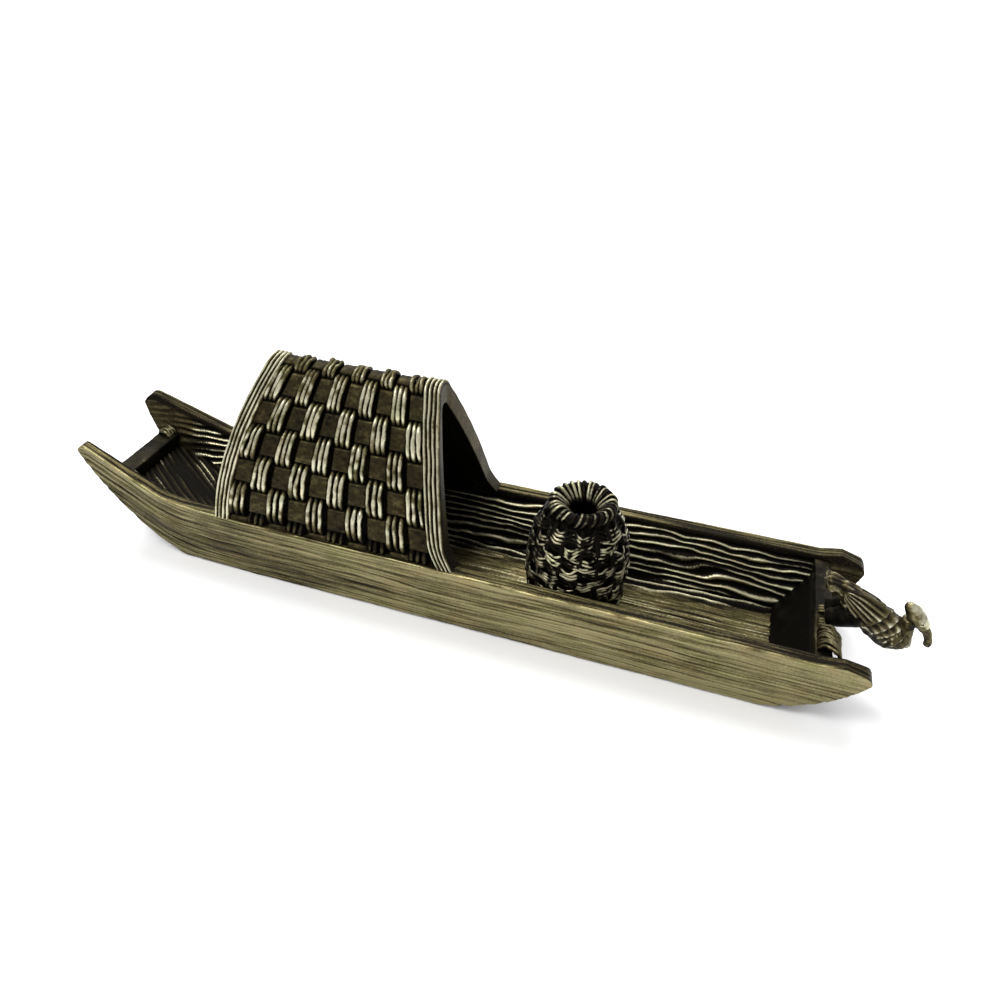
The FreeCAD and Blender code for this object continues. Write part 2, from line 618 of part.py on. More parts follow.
def bird_tail():
    """The tail, from its tip above the crossbeam into the body."""
    tip = ("Dims.bird_tail_x", "Dims.bird_y", "Dims.bird_tail_z")
    rump = ("Dims.bird_body_x", "Dims.bird_y", "Dims.bird_body_z")
    taper = bird_taper("tail_taper", tip, rump, "Dims.bird_tail_radius", "Dims.bird_rump_radius")
    return combined("Cut", "cormorant_tail", taper, cormorant_body)


def bird_neck():
    """The short thick neck between the breast and the head."""
    breast = ("Dims.bird_breast_x", "Dims.bird_y", "Dims.bird_breast_z")
    taper = bird_taper("neck_taper", breast, head_middle, "Dims.bird_neck_radius", "Dims.bird_nape_radius")
    trimmed = combined("Cut", "neck_trim", taper, cormorant_body)
    return combined("Cut", "cormorant_neck", trimmed, cormorant_head)


def bird_bill():
    """The hooked bill: a run forward out of the head and a run down to the tip."""
    bend = ("Dims.bird_bill_bend_x", "Dims.bird_y", "Dims.bird_bill_bend_z")
    tip = ("Dims.bird_bill_x", "Dims.bird_y", "Dims.bird_bill_z")
    upper = bird_taper("bill_upper", head_middle, bend,
                       "Dims.bird_bill_root_radius", "Dims.bird_bill_bend_radius")
    lower = bird_taper("bill_lower", bend, tip,
                       "Dims.bird_bill_bend_radius", "Dims.bird_bill_tip_radius")
    return combined("Cut", "cormorant_bill", fused("bill_runs", [upper, lower]), cormorant_head)


def bird_feet():
    """Two legs with webbed feet that stand on the bow crossbeam and reach into the body."""
    legs = []
    for side in (-1, 1):
        y = f"Dims.bird_y + {side} * Dims.bird_foot_gap"
        foot = ("Dims.bow_beam_x", y, "Dims.bow_beam_top")
        hip = ("Dims.bird_hip_x", y, "Dims.bird_body_z")
        legs.append(bird_taper("leg", foot, hip, "Dims.bird_leg_radius", "Dims.bird_hip_radius"))
        legs.append(new_box("web", "Dims.web_long", "Dims.web_wide", "Dims.web_thick",
                            "Dims.bow_beam_x", y, "Dims.bow_beam_top"))
    raised = combined("Cut", "legs_trim", fused("legs", legs), cormorant_body)
    return combined("Cut", "cormorant_feet", raised, bow_crossbeam)


head_middle = ("Dims.bird_head_x", "Dims.bird_y", "Dims.bird_head_z")
cormorant_body = bird_spindle("cormorant_body", "Dims.bird_body_long", "Dims.bird_body_thick",
                              "Dims.bird_body_long * 0.2", "Dims.bird_body_x", "Dims.bird_body_z",
                              "Dims.bird_pitch")
cormorant_head = bird_spindle("cormorant_head", "Dims.bird_head_long", "Dims.bird_head_radius", "0",
                              "Dims.bird_head_x", "Dims.bird_head_z", "Dims.bird_head_pitch")
bird_pieces = [
    cormorant_body,
    bird_wing("cormorant_port_wing", 1),
    bird_wing("cormorant_starboard_wing", -1),
    bird_tail(),
    bird_neck(),
    cormorant_head,
    bird_bill(),
    bird_feet(),
]

# ---- check and export ----

nodes = hull_pieces + canopy_pieces + [basket_body, basket_rim] + bird_pieces
document.recompute()
for item in document.Objects:
    if "Invalid" in item.State or "Error" in item.State:
        raise RuntimeError(f"{item.Name} failed: {item.State}")
os.makedirs("parts", exist_ok=True)
for node in nodes:
    shape = node.Shape
    if shape.isNull() or not shape.isValid() or not shape.Solids:
        raise RuntimeError(f"{node.Label} has no sound solid")
    shape.exportStep(f"parts/{node.Label}.step")
    box = shape.optimalBoundingBox(False)
    print(f"{node.Label:26s} solids {len(shape.Solids):3d} volume {shape.Volume:9.2f} "
          f"x {box.XMin:7.2f} {box.XMax:7.2f} y {box.YMin:7.2f} {box.YMax:7.2f} "
          f"z {box.ZMin:6.2f} {box.ZMax:6.2f}")
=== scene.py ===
import math
import bpy
import numpy as np
from mathutils import Matrix, Vector


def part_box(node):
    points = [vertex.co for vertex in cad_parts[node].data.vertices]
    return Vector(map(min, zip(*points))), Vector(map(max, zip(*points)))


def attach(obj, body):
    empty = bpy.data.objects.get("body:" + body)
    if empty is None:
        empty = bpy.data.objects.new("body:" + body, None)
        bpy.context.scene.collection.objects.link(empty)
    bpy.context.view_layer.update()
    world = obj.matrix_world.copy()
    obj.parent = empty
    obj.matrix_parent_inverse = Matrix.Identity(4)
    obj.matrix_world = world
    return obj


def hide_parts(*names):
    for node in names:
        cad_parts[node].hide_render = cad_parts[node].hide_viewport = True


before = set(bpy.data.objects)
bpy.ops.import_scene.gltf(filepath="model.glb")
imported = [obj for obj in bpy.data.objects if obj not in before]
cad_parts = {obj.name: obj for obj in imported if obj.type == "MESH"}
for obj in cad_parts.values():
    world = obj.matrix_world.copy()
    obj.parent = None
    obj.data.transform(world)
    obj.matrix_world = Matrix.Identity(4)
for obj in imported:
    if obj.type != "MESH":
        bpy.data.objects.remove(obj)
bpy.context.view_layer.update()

MM = 0.001
PI = math.pi

# ---- sizes in millimetres, beside counts and slopes ----
# +X is the bow, +Y is port, and the origin is on the underside.

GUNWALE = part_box("canopy_stern_rim")[0][2] / MM
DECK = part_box("deck_floor")[1][2] / MM
STATIONS = (-66.0, -48.0, -34.0, 58.0)
OUTER_BEAM = (8.75, 10.85, 11.5, 12.2)
OUTER_FLARE = (0.04, 0.05, 0.08, 0.1)
INNER_BEAM = (4.5, 8.8, 9.4, 10.1)
INNER_FLARE = 0.38
STERN_TIP = (-63.3, 16.0)
STERN_TOP = (-61.5, 17.4)
STERN_FOOT = (-46.8, 0.0)
SHEER_HIGH = (-49.5, 12.2)
SHEER_LOW = (-45.0, GUNWALE)
BOW_FOOT = (44.0, 0.0)
BOW_TIP = (56.1, 9.7)
BOW_SHOULDER = (55.1, 11.1)
BOW_NUB = (52.6, 11.9)
BOW_RISE = (49.5, GUNWALE)

CANOPY_FOOT_Y = 11.5
SHOULDER = (2.3, 33.3)
RIDGE_RADIUS = 2.45
SIDE_RADIUS = 70.0
STERN_SWEEP = 1.7
INNER_FOOT_Y = 8.8
INNER_SHOULDER = (0.9, 30.9)
INNER_RIDGE_RADIUS = 1.1
CANOPY_TOP = 35.0
STERN_EDGE = (-38.4, -30.9)
BOW_EDGE = (-0.8, -4.9)
RIM_WIDE = 2.4
COLUMNS = 10
ROW_PITCH = 4.64
FIRST_ROW = 3.7
STRANDS = 3
STRAND_GAP = 0.30
STRAND_RADIUS = 0.34
STRAND_DEPTH = 0.84
CANOPY_SKIN = 1.95

PLANK_STEP = 0.45
DECK_STEP = 0.5
RIDGE_PITCH_WALL = 1.12
RIDGE_PITCH_DECK = 1.34
WORN_DECK_EDGE = 5.0
CALM_START = 34.0
STERN_HORN = -53.5
BOW_HORN = 49.0


# ---- repeatable noise ----

def lattice(ix, iy, iz, seed):
    """A repeatable number between -1 and 1 for each lattice point."""
    mixed = (ix * 374761393 + iy * 668265263 + iz * 1440662683 + seed * 974634777) & 0xFFFFFFFF
    mixed = ((mixed ^ (mixed >> 13)) * 1274126177) & 0xFFFFFFFF
    return (mixed ^ (mixed >> 16)) / 2147483647.5 - 1.0


def noise(x, y=0.0, z=0.0, seed=0):
    """Smooth noise between -1 and 1."""
    x, y, z = np.broadcast_arrays(np.asarray(x, float), y, z)
    cells = [np.floor(a).astype(np.int64) for a in (x, y, z)]
    shares = [a - c for a, c in zip((x, y, z), cells)]
    ease = [t * t * (3.0 - 2.0 * t) for t in shares]
    total = np.zeros(x.shape)
    for corner in range(8):
        step = (corner & 1, corner >> 1 & 1, corner >> 2)
        weight = np.ones(x.shape)
        for axis in range(3):
            weight = weight * (ease[axis] if step[axis] else 1.0 - ease[axis])
        total += weight * lattice(cells[0] + step[0], cells[1] + step[1], cells[2] + step[2], seed)
    return total


def rough(x, y, z, size, seed, octaves=3):
    """Cast-metal roughness: noise at a size and its halves."""
    total = 0.0
    for octave in range(octaves):
        scale = 2.0 ** octave / size
        total = total + noise(x * scale, y * scale, z * scale, seed + octave) / 2.0 ** octave
    return total


def smooth_step(value):
    """0 below 0, 1 above 1, eased between."""
    t = np.clip(value, 0.0, 1.0)
    return t * t * (3.0 - 2.0 * t)


def bell(value):
    """1 at 0, falling away smoothly on both sides."""
    return np.exp(-value ** 2)


def ridges(phase, sharpness):
    """Rounded crests at whole numbers, 0 between them."""
    return (0.5 + 0.5 * np.cos(2 * PI * phase)) ** sharpness


# ---- meshes ----

class Form:
    """Closed grids of points that make one piece.

    relief is 0 in a recess and 1 on a crest, and on strands, beams and the bird it also carries painted
    highlights and painted shade; age is 1 under dark patina, which in the canopy's inside also stands for
    painted shade.
    """

    def __init__(self, name):
        self.name = name
        self.points = []
        self.relief = []
        self.age = []
        self.faces = []
        self.count = 0

    def add(self, loops, relief, age=0.0, ring=False):
        """Loops of points (rows, columns, 3): each row is a closed loop, and a ring closes on itself."""
        rows, columns = loops.shape[:2]
        index = np.arange(rows * columns).reshape(rows, columns) + self.count
        ahead = np.roll(index, -1, axis=0) if ring else index[1:]
        here = index if ring else index[:-1]
        quads = np.stack([here, np.roll(here, -1, axis=1), np.roll(ahead, -1, axis=1), ahead], axis=-1)
        faces = quads.reshape(-1, 4).tolist()
        if not ring:
            for row, flip in ((index[0], True), (index[-1], False)):
                for k in range(columns // 2 - 1):
                    quad = [row[k], row[k + 1], row[columns - 2 - k], row[columns - 1 - k]]
                    quad = list(dict.fromkeys(int(corner) for corner in quad))
                    faces.append(quad[::-1] if flip else quad)
        if signed_volume(loops, ring) < 0:
            faces = [face[::-1] for face in faces]
        self.points.append(loops.reshape(-1, 3))
        self.relief.append(np.broadcast_to(relief, (rows, columns)).reshape(-1))
        self.age.append(np.broadcast_to(age, (rows, columns)).reshape(-1))
        self.faces.extend(faces)
        self.count += rows * columns

    def build(self, material, slot, *nodes):
        """Make the object, with its relief and age attributes, in place of the CAD nodes."""
        mesh = bpy.data.meshes.new(self.name)
        mesh.from_pydata((np.concatenate(self.points) * MM).tolist(), [], self.faces)
        for label, values in (("relief", self.relief), ("age", self.age)):
            layer = mesh.attributes.new(label, "FLOAT", "POINT")
            layer.data.foreach_set("value", np.clip(np.concatenate(values), 0.0, 1.0).astype(np.float32))
        mesh.polygons.foreach_set("use_smooth", [True] * len(mesh.polygons))
        mesh.materials.append(material)
        piece = bpy.data.objects.new(self.name, mesh)
        bpy.context.scene.collection.objects.link(piece)
        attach(piece, "root")
        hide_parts(*nodes)
        return piece


def signed_volume(loops, ring):
    """Which way round the side faces of a stack of loops run: positive means that they face outwards."""
    here = loops if ring else loops[:-1]
    ahead = np.roll(loops, -1, axis=0) if ring else loops[1:]
    middle = loops.mean(axis=(0, 1))
    a = here - middle
    b = np.roll(here, -1, axis=1) - middle
    c = np.roll(ahead, -1, axis=1) - middle
    return float((np.cross(a, b) * c).sum())


def outward(loops, ring=False):
    """Unit normals of a stack of loops, away from the inside."""
    around = np.roll(loops, -1, axis=1) - np.roll(loops, 1, axis=1)
    if ring:
        along = np.roll(loops, -1, axis=0) - np.roll(loops, 1, axis=0)
    else:
        along = np.gradient(loops, axis=0)
    normal = np.cross(around, along)
    length = np.linalg.norm(normal, axis=-1, keepdims=True)
    return normal / np.maximum(length, 1e-9) * (1.0 if signed_volume(loops, ring) > 0 else -1.0)


def soften(values, passes):
    """Round the corners of every loop."""
    for _ in range(passes):
        values = 0.25 * np.roll(values, 1, axis=1) + 0.5 * values + 0.25 * np.roll(values, -1, axis=1)
    return values


def polygon_loops(corners, counts, passes):
    """Loops along polygons (rows, corners, 3), with counts[k] points on side k, and each side's share."""
    sides = corners.shape[1]
    pieces = []
    shares = []
    for side in range(sides):
        steps = (np.arange(counts[side]) / counts[side])[None, :, None]
        start = corners[:, side][:, None, :]
        finish = corners[:, (side + 1) % sides][:, None, :]
        pieces.append(start + (finish - start) * steps)
        share = np.zeros((1, counts[side], sides))
        share[..., side] = 1.0
        shares.append(share)
    loops = soften(np.concatenate(pieces, axis=1), passes)
    return loops, soften(np.concatenate(shares, axis=1), passes)


def tube_loops(path, wide, high, up, sides=8, ring=False):
    """Oval loops round a path. Returns the loops and the angle of each point, 90 degrees facing up."""
    if ring:
        along = np.roll(path, -1, axis=0) - np.roll(path, 1, axis=0)
    else:
        along = np.gradient(path, axis=0)
    along = along / np.linalg.norm(along, axis=1, keepdims=True)
    up = np.broadcast_to(up, path.shape)
    across = np.cross(along, up)
    across = across / np.linalg.norm(across, axis=1, keepdims=True)
    rise = np.cross(across, along)
    angle = (np.arange(sides) + 0.5) / sides * 2 * PI
    wide = np.broadcast_to(wide, len(path))[:, None, None]
    high = np.broadcast_to(high, len(path))[:, None, None]
    loops = (path[:, None] + across[:, None] * np.cos(angle)[None, :, None] * wide
             + rise[:, None] * np.sin(angle)[None, :, None] * high)
    return loops, np.broadcast_to(angle, (len(path), sides))


def add_strand(form, path, radius, up, sides=8, ring=False, age=0.0, highlight_and_wear=1.0):
    """A strand that is bright where it faces up, a painted highlight that partly stands for wear, and dark
    where it meets its neighbours, painted shade and patina.
    """
    loops, angle = tube_loops(path, radius, radius, up, sides, ring)
    # Painted highlight on the side facing up, painted shade on the side facing away.
    relief = highlight_and_wear * (0.5 + 0.5 * np.sin(angle)) ** 1.6
    form.add(loops, relief, age, ring)


def rounded_ends(count, share=0.12):
    """A radius profile that closes at both ends like a rounded rod."""
    t = np.linspace(0.0, 1.0, count)
    near = np.minimum(t, 1.0 - t) / share
    return np.sqrt(np.clip(1.0 - (1.0 - np.clip(near, 0.0, 1.0)) ** 2, 0.004, 1.0))


def arc(start, finish, radius, turn, count=24):
    """Points along the short arc from start to finish; turn is 1 for left and -1 for right."""
    start, finish = np.array(start, float), np.array(finish, float)
    half = (finish - start) / 2
    reach = math.sqrt(radius ** 2 - half @ half)
    left = np.array([-half[1], half[0]]) / np.linalg.norm(half)
    centre = start + half + left * turn * reach
    first = math.atan2(*(start - centre)[::-1])
    sweep = 2 * math.asin(np.linalg.norm(half) / radius) * turn
    angles = first + np.linspace(0.0, 1.0, count) * sweep
    return centre + radius * np.stack([np.cos(angles), np.sin(angles)], axis=1)


# ---- materials ----

RAMP_STOPS = (0.12, 0.5, 0.9)
BLOTCH_SIZE = 5.0
BLOTCH_SHADE = 0.18
GRAIN_SHADE = 0.26
TINT_SIZE = 3.2
TINT_STRENGTH = 0.85
LEAST_METAL = 0.92
BUMP_STRENGTH = 0.6
GREENISH = (0.90, 1.0, 0.72)
NEUTRAL = (1.0, 1.0, 1.0)
BROWNISH = (1.0, 0.86, 0.72)
BLACK = (0.003, 0.0025, 0.0018)
SOOT = (0.010, 0.008, 0.005)
UMBER = (0.034, 0.027, 0.012)
OLIVE = (0.125, 0.106, 0.048)
BRASS = (0.27, 0.24, 0.12)
PALE = (0.46, 0.43, 0.29)
SILVER = (0.58, 0.56, 0.42)
DRAB = (0.095, 0.079, 0.034)
BRONZE = (0.27, 0.238, 0.122)


def antique_brass(name, worn, aged, grain_size, grain_depth, crest_gloss=0.34, recess_gloss=0.62):
    """Brass whose colour follows its relief, with a faint uneven tint.

    worn and aged are (recess, middle, crest) colours, for clean brass and for dark patina.
    """
    material = bpy.data.materials.new(name)
    material.use_nodes = True
    nodes = material.node_tree.nodes
    links = material.node_tree.links
    shader = nodes["Principled BSDF"]

    def attribute(label):
        node = nodes.new("ShaderNodeAttribute")
        node.attribute_name = label
        return node.outputs["Fac"]

    def fleck(size, detail):
        node = nodes.new("ShaderNodeTexNoise")
        node.inputs["Scale"].default_value = 1.0 / (size * MM)
        node.inputs["Detail"].default_value = detail
        links.new(place.outputs["Object"], node.inputs["Vector"])
        return node.outputs["Fac"]

    def scaled(value, low, high):
        node = nodes.new("ShaderNodeMapRange")
        node.inputs["To Min"].default_value = low
        node.inputs["To Max"].default_value = high
        links.new(value, node.inputs["Value"])
        return node.outputs["Result"]

    def added(first, second):
        node = nodes.new("ShaderNodeMath")
        node.operation = "ADD"
        links.new(first, node.inputs[0])
        links.new(second, node.inputs[1])
        return node.outputs["Value"]

    def ramp(value, colours):
        node = nodes.new("ShaderNodeValToRGB")
        stops = node.color_ramp.elements
        stops.new(0.5)
        for stop, position, colour in zip(stops, RAMP_STOPS, colours):
            stop.position = position
            stop.color = (*colour, 1.0)
        links.new(value, node.inputs["Fac"])
        return node.outputs["Color"]

    place = nodes.new("ShaderNodeTexCoord")
    blotch = fleck(BLOTCH_SIZE, 3.0)
    grain = fleck(grain_size, 4.0)
    uneven = added(scaled(blotch, -BLOTCH_SHADE, BLOTCH_SHADE), scaled(grain, -GRAIN_SHADE, GRAIN_SHADE))
    height = added(attribute("relief"), uneven)
    blend = nodes.new("ShaderNodeMix")
    blend.data_type = "RGBA"
    links.new(attribute("age"), blend.inputs["Factor"])
    links.new(ramp(height, worn), blend.inputs["A"])
    links.new(ramp(height, aged), blend.inputs["B"])
    tint = nodes.new("ShaderNodeMix")
    tint.data_type = "RGBA"
    tint.blend_type = "MULTIPLY"
    tint.inputs["Factor"].default_value = TINT_STRENGTH
    links.new(blend.outputs["Result"], tint.inputs["A"])
    links.new(ramp(fleck(TINT_SIZE, 2.0), (GREENISH, NEUTRAL, BROWNISH)), tint.inputs["B"])
    links.new(tint.outputs["Result"], shader.inputs["Base Color"])
    links.new(scaled(height, recess_gloss, crest_gloss), shader.inputs["Roughness"])
    links.new(scaled(height, LEAST_METAL, 1.0), shader.inputs["Metallic"])
    bump = nodes.new("ShaderNodeBump")
    bump.inputs["Strength"].default_value = BUMP_STRENGTH
    bump.inputs["Distance"].default_value = grain_depth * MM
    links.new(grain, bump.inputs["Height"])
    links.new(bump.outputs["Normal"], shader.inputs["Normal"])
    return material


hull_brass = antique_brass("hull_brass", (SOOT, DRAB, BRONZE), (BLACK, SOOT, PALE), 0.3, 0.06)
deck_patina = antique_brass("deck_patina", (SOOT, DRAB, PALE), (BLACK, SOOT, PALE), 0.3, 0.06)
strip_patina = antique_brass("strip_patina", (BLACK, UMBER, OLIVE), (BLACK, SOOT, UMBER), 0.4, 0.05)
strand_brass = antique_brass("strand_brass", (SOOT, OLIVE, SILVER), (BLACK, UMBER, PALE), 0.35, 0.04)
rim_brass = antique_brass("rim_brass", (SOOT, OLIVE, SILVER), (BLACK, UMBER, BRASS), 0.4, 0.04)
basket_patina = antique_brass("basket_patina", (BLACK, SOOT, PALE), (BLACK, BLACK, UMBER), 0.4, 0.06)
bird_brass = antique_brass("bird_brass", (SOOT, OLIVE, SILVER), (BLACK, UMBER, BRASS), 0.35, 0.04)


# ---- hull ----

PLANK_POINTS = (84, 22, 84, 8, 12)
STERN_RAMP_GROOVES = 1.15
TURN_POINTS = 26


def outer_y(x, z):
    """Outer face of the hull at a height."""
    return np.interp(x, STATIONS, OUTER_BEAM) + np.interp(x, STATIONS, OUTER_FLARE) * (z - GUNWALE)


def inner_y(x, z):
    """Inner face of the planks, upright below the deck."""
    return np.interp(x, STATIONS, INNER_BEAM) + INNER_FLARE * (np.maximum(z, DECK) - GUNWALE)


lower_edge = np.concatenate([arc(STERN_TIP, STERN_FOOT, 30.0, 1), arc(BOW_FOOT, BOW_TIP, 18.0, 1)])
upper_edge = np.concatenate([
    arc(STERN_TOP, STERN_TIP, 1.5, 1)[::-1], arc(SHEER_LOW, SHEER_HIGH, 24.0, -1)[::-1],
    np.array([BOW_RISE, BOW_NUB]), arc(BOW_TIP, BOW_SHOULDER, 1.5, 1)[::-1]])


def bottom_z(x):
    """Lower edge of the side planks."""
    return np.interp(x, lower_edge[:, 0], lower_edge[:, 1])


def top_z(x):
    """Upper edge of the side planks."""
    return np.interp(x, upper_edge[:, 0], upper_edge[:, 1])


def grain(x, depth, seed):
    """Wood grain that runs along the boat: height in millimetres and relief."""
    warp = 0.42 * noise(x / 19, depth / 4.0, seed=seed) + 0.12 * noise(x / 5, depth / 1.6, seed=seed + 1)
    wide = depth * 0.72 + warp
    narrow = depth * 1.65 + warp * 2.2 + 0.2 * noise(x / 7, depth, seed=seed + 2)
    crease = ridges(wide, 9.0) * (0.60 + 0.55 * noise(x / 11, np.floor(wide + 0.5) * 3.3, seed=seed + 3))
    second = ridges(narrow, 5.0) * (0.55 + 0.65 * noise(x / 7, np.floor(narrow + 0.5) * 2.7, seed=seed + 4))
    fine = noise(x / 7 + depth, depth * 4.6 + warp * 4, seed=seed + 5)
    streak = noise(x / 2.8 - depth, depth * 6.4, seed=seed + 6)
    height = 0.05 * fine + 0.03 * streak - 0.18 * crease - 0.10 * second
    broad = noise(x / 17 + depth / 6, depth / 2.4, seed=seed + 7)
    relief = 0.80 + 0.22 * fine + 0.18 * streak + 0.20 * broad - 0.58 * crease - 0.38 * second
    return height, relief


def wavy_ridges(x, across, spacing, seed):
    """Carved ridges along the boat that waver and fade in and out: height and relief."""
    wander = 0.46 * noise(x / 9 + across / 4, across / 3.0, seed=seed)
    wander = wander + 0.26 * noise(x / 3.4, across / 2.0, seed=seed + 1)
    phase = across / spacing + wander + 0.10 * noise(x / 1.5, across / 1.2, seed=seed + 5)
    each = np.floor(phase + 0.5)
    strength = 0.74 + 0.55 * noise(x / 4.5, each * 7.31, seed=seed + 2)
    crest = ridges(phase, 1.7) * np.clip(strength + 0.22, 0.3, 1.0)
    fork = ridges(phase * 2 + 0.5, 3.0) * np.clip(noise(x / 6, each * 3.7, seed=seed + 3), 0, 1) * 0.4
    crest = np.maximum(crest, fork)
    return 0.46 * crest - 0.14 + 0.03 * rough(x, across, 0.0, 0.8, seed + 4), 0.08 + 0.90 * crest


def plank_stations():
    """Places along the boat, closer together at the rounded ends."""
    ends = 4.0
    points = 26
    stern = STERN_TIP[0] + ends * np.linspace(0.0, 1.0, points) ** 1.6
    bow = BOW_TIP[0] - ends * np.linspace(0.0, 1.0, points)[::-1] ** 1.6
    middle = np.arange(stern[-1] + PLANK_STEP, bow[0] - 0.2, PLANK_STEP)
    return np.concatenate([stern, middle, bow])


def plank_loops(side):
    """Loops round a plank's section, each side's share of every point, and the plank's depth."""
    x = plank_stations()
    low, high = bottom_z(x), np.maximum(top_z(x), bottom_z(x) + 0.35)
    sill = np.maximum(low, np.minimum(DECK, high - 0.1))
    outline = [(outer_y(x, low), low), (outer_y(x, high), high), (inner_y(x, high), high),
               (inner_y(x, sill), sill), (inner_y(x, low), low)]
    corners = np.stack([np.stack([x, side * y, z], axis=1) for y, z in outline], axis=1)
    loops, share = polygon_loops(corners, PLANK_POINTS, 5)
    return loops, share, (high - low)[:, None]


def outer_face(px, below, seed):
    """The outside of a plank: grain, smoother near the top of the bow, and paler towards the bow."""
    height, relief = grain(px, below, seed)
    calm = smooth_step((px - CALM_START) / 9.0) * smooth_step((4.6 - below) / 2.6)
    height = height * (1 - 0.7 * calm)
    relief = relief + (0.72 - relief) * 0.65 * calm
    return height, relief + 0.13 * px / 50.0


def side_plank(node, side, seed):
    """A side plank: grain outside and on the gunwale, wavy ridges inside, and a bright upper edge that is
    partly wear and partly a painted highlight.
    """
    loops, share, depth = plank_loops(side)
    px, py, pz = loops[..., 0], loops[..., 1], loops[..., 2]
    on_side, on_top, on_wall, on_foot = [share[..., k] for k in range(4)]
    sheer = np.interp(px, (STERN_TOP[0], SHEER_HIGH[0], SHEER_LOW[0], BOW_TIP[0]),
                      (STERN_TOP[1], SHEER_HIGH[1], GUNWALE, GUNWALE))
    below = sheer - pz
    lip = (np.abs(py) - inner_y(px, pz)) / (outer_y(px, pz) - inner_y(px, pz))
    below_lip = smooth_step((below - 0.6) / 0.6)
    horn = smooth_step((STERN_HORN - px) / 3.0) + smooth_step((px - BOW_HORN) / 2.0)
    outside, outside_relief = outer_face(px, below, seed)
    inside, inside_relief = wavy_ridges(px, (pz - DECK) * 1.07, RIDGE_PITCH_WALL, seed + 10)
    top, top_relief = grain(px, lip * 2.6, seed + 20)
    height = on_side * outside + on_top * top * 0.8 + on_wall * inside * below_lip
    height = height + 0.03 * rough(px, py, pz, 1.6, seed + 30)
    inside_relief = 1.25 * inside_relief * (1 - horn) + 0.28 * horn
    # A thin bright line along the outer top edge, partly wear and partly a painted highlight.
    edge = bell((lip - 0.92) / 0.08) * (0.70 + 0.6 * noise(px / 2.2, lip, seed=seed + 25))
    edge_wear_and_highlight = edge * bell(below / 0.36) * (on_side + on_top)
    relief = on_side * outside_relief + on_top * (top_relief * 0.95 - 0.42) + 0.85 * edge_wear_and_highlight
    relief = relief + on_wall * (0.10 + (inside_relief - 0.10) * below_lip)
    age = np.clip(on_wall + on_foot, 0.0, 1.0) * smooth_step((below - 0.25) / 0.5) * (1 - 0.8 * horn)
    room = np.clip(depth / 3.0, 0.15, 1.0)
    form = Form(node + "_carved")
    form.add(loops + outward(loops) * (height * room)[..., None], relief, age)
    form.build(hull_brass, "hull_brass", node)


def trough_piece(node, stations, low, high, counts, carve, inset=0.02):
    """A board between the planks: low and high give its underside and top at each station."""
    rows = []
    for across, level in ((-1, low), (-1, high), (1, high), (1, low)):
        y = across * (inner_y(stations, level) + inset)
        rows.append(np.stack([stations, y, level], axis=1))
    loops, share = polygon_loops(np.stack(rows, axis=1), counts, 2)
    height, relief, age = carve(loops[..., 0], loops[..., 1], loops[..., 2], share)
    form = Form(node + "_carved")
    form.add(loops + outward(loops) * height[..., None], relief, age)
    return form


def deck_floor():
    """The deck, ridged along the boat, and worn lighter except beside the port plank."""
    low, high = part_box("deck_floor")
    x = np.arange(low[0] / MM, high[0] / MM + 0.2, DECK_STEP)

    def carve(px, py, pz, share):
        height, relief = wavy_ridges(px, py + 9.0, RIDGE_PITCH_DECK, 90)
        soft, soft_relief = grain(px, py * 1.2, 93)
        worn = smooth_step((WORN_DECK_EDGE + 0.8 * noise(px / 6, seed=97) - py) / 1.8)
        height = height * (1.0 - 0.6 * worn) + soft * worn
        relief = relief + (soft_relief * 0.66 - 0.03 - relief) * worn
        return height * share[..., 1], relief * share[..., 1], 1.0 - worn

    flat = np.ones(len(x))
    form = trough_piece("deck_floor", x, low[2] / MM * flat, DECK * flat, (6, 120, 6, 30), carve)
    form.build(deck_patina, "deck_patina", "deck_floor")


def bottom_board():
    """The flat underside, cast plain with faint grain."""
    low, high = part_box("bottom_board")
    x = np.arange(low[0] / MM, high[0] / MM + 0.2, 0.6)

    def carve(px, py, pz, share):
        height, relief = grain(px, py + 20.0, 60)
        return height * 0.5 * share[..., 3] - 0.02, relief * 0.85, 0.25 * np.ones(px.shape)

    flat = np.ones(len(x))
    form = trough_piece("bottom_board", x, 0.05 * flat, high[2] / MM * flat, (6, 30, 6, 90), carve)
    form.build(hull_brass, "hull_brass", "bottom_board")


def stern_ramp():
    """Boards that slope from the deck to the stern crossbeam, grooved on the slant."""
    low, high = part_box("stern_ramp")
    beam_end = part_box("stern_crossbeam")[1][0] / MM
    x = np.linspace(low[0] / MM + 0.05, high[0] / MM, 60)
    top = np.interp(x, (beam_end, high[0] / MM), (high[2] / MM, DECK))
    bottom = np.minimum(bottom_z(x) + 0.3, top - 0.4)

    def carve(px, py, pz, share):
        slanted = py + (px + 43.0) * 0.52
        wander = 0.3 * noise(px / 4, py / 3, seed=71)
        phase = slanted / STERN_RAMP_GROOVES + wander
        each = np.floor(phase + 0.5)
        crest = ridges(phase, 1.9) * (0.42 + 0.75 * noise(each * 5.3, px / 2.6, seed=72))
        crest = np.clip(crest, 0.0, 1.0)
        step = smooth_step((slanted - 0.4) / 0.25)
        height = 0.42 * crest + 0.35 * step - 0.2
        return height * share[..., 1], (0.10 + 0.62 * crest) * share[..., 1], np.full(px.shape, 0.85)

    form = trough_piece("stern_ramp", x, bottom, top, (8, 110, 8, 40), carve)
    form.build(deck_patina, "deck_patina", "stern_ramp")


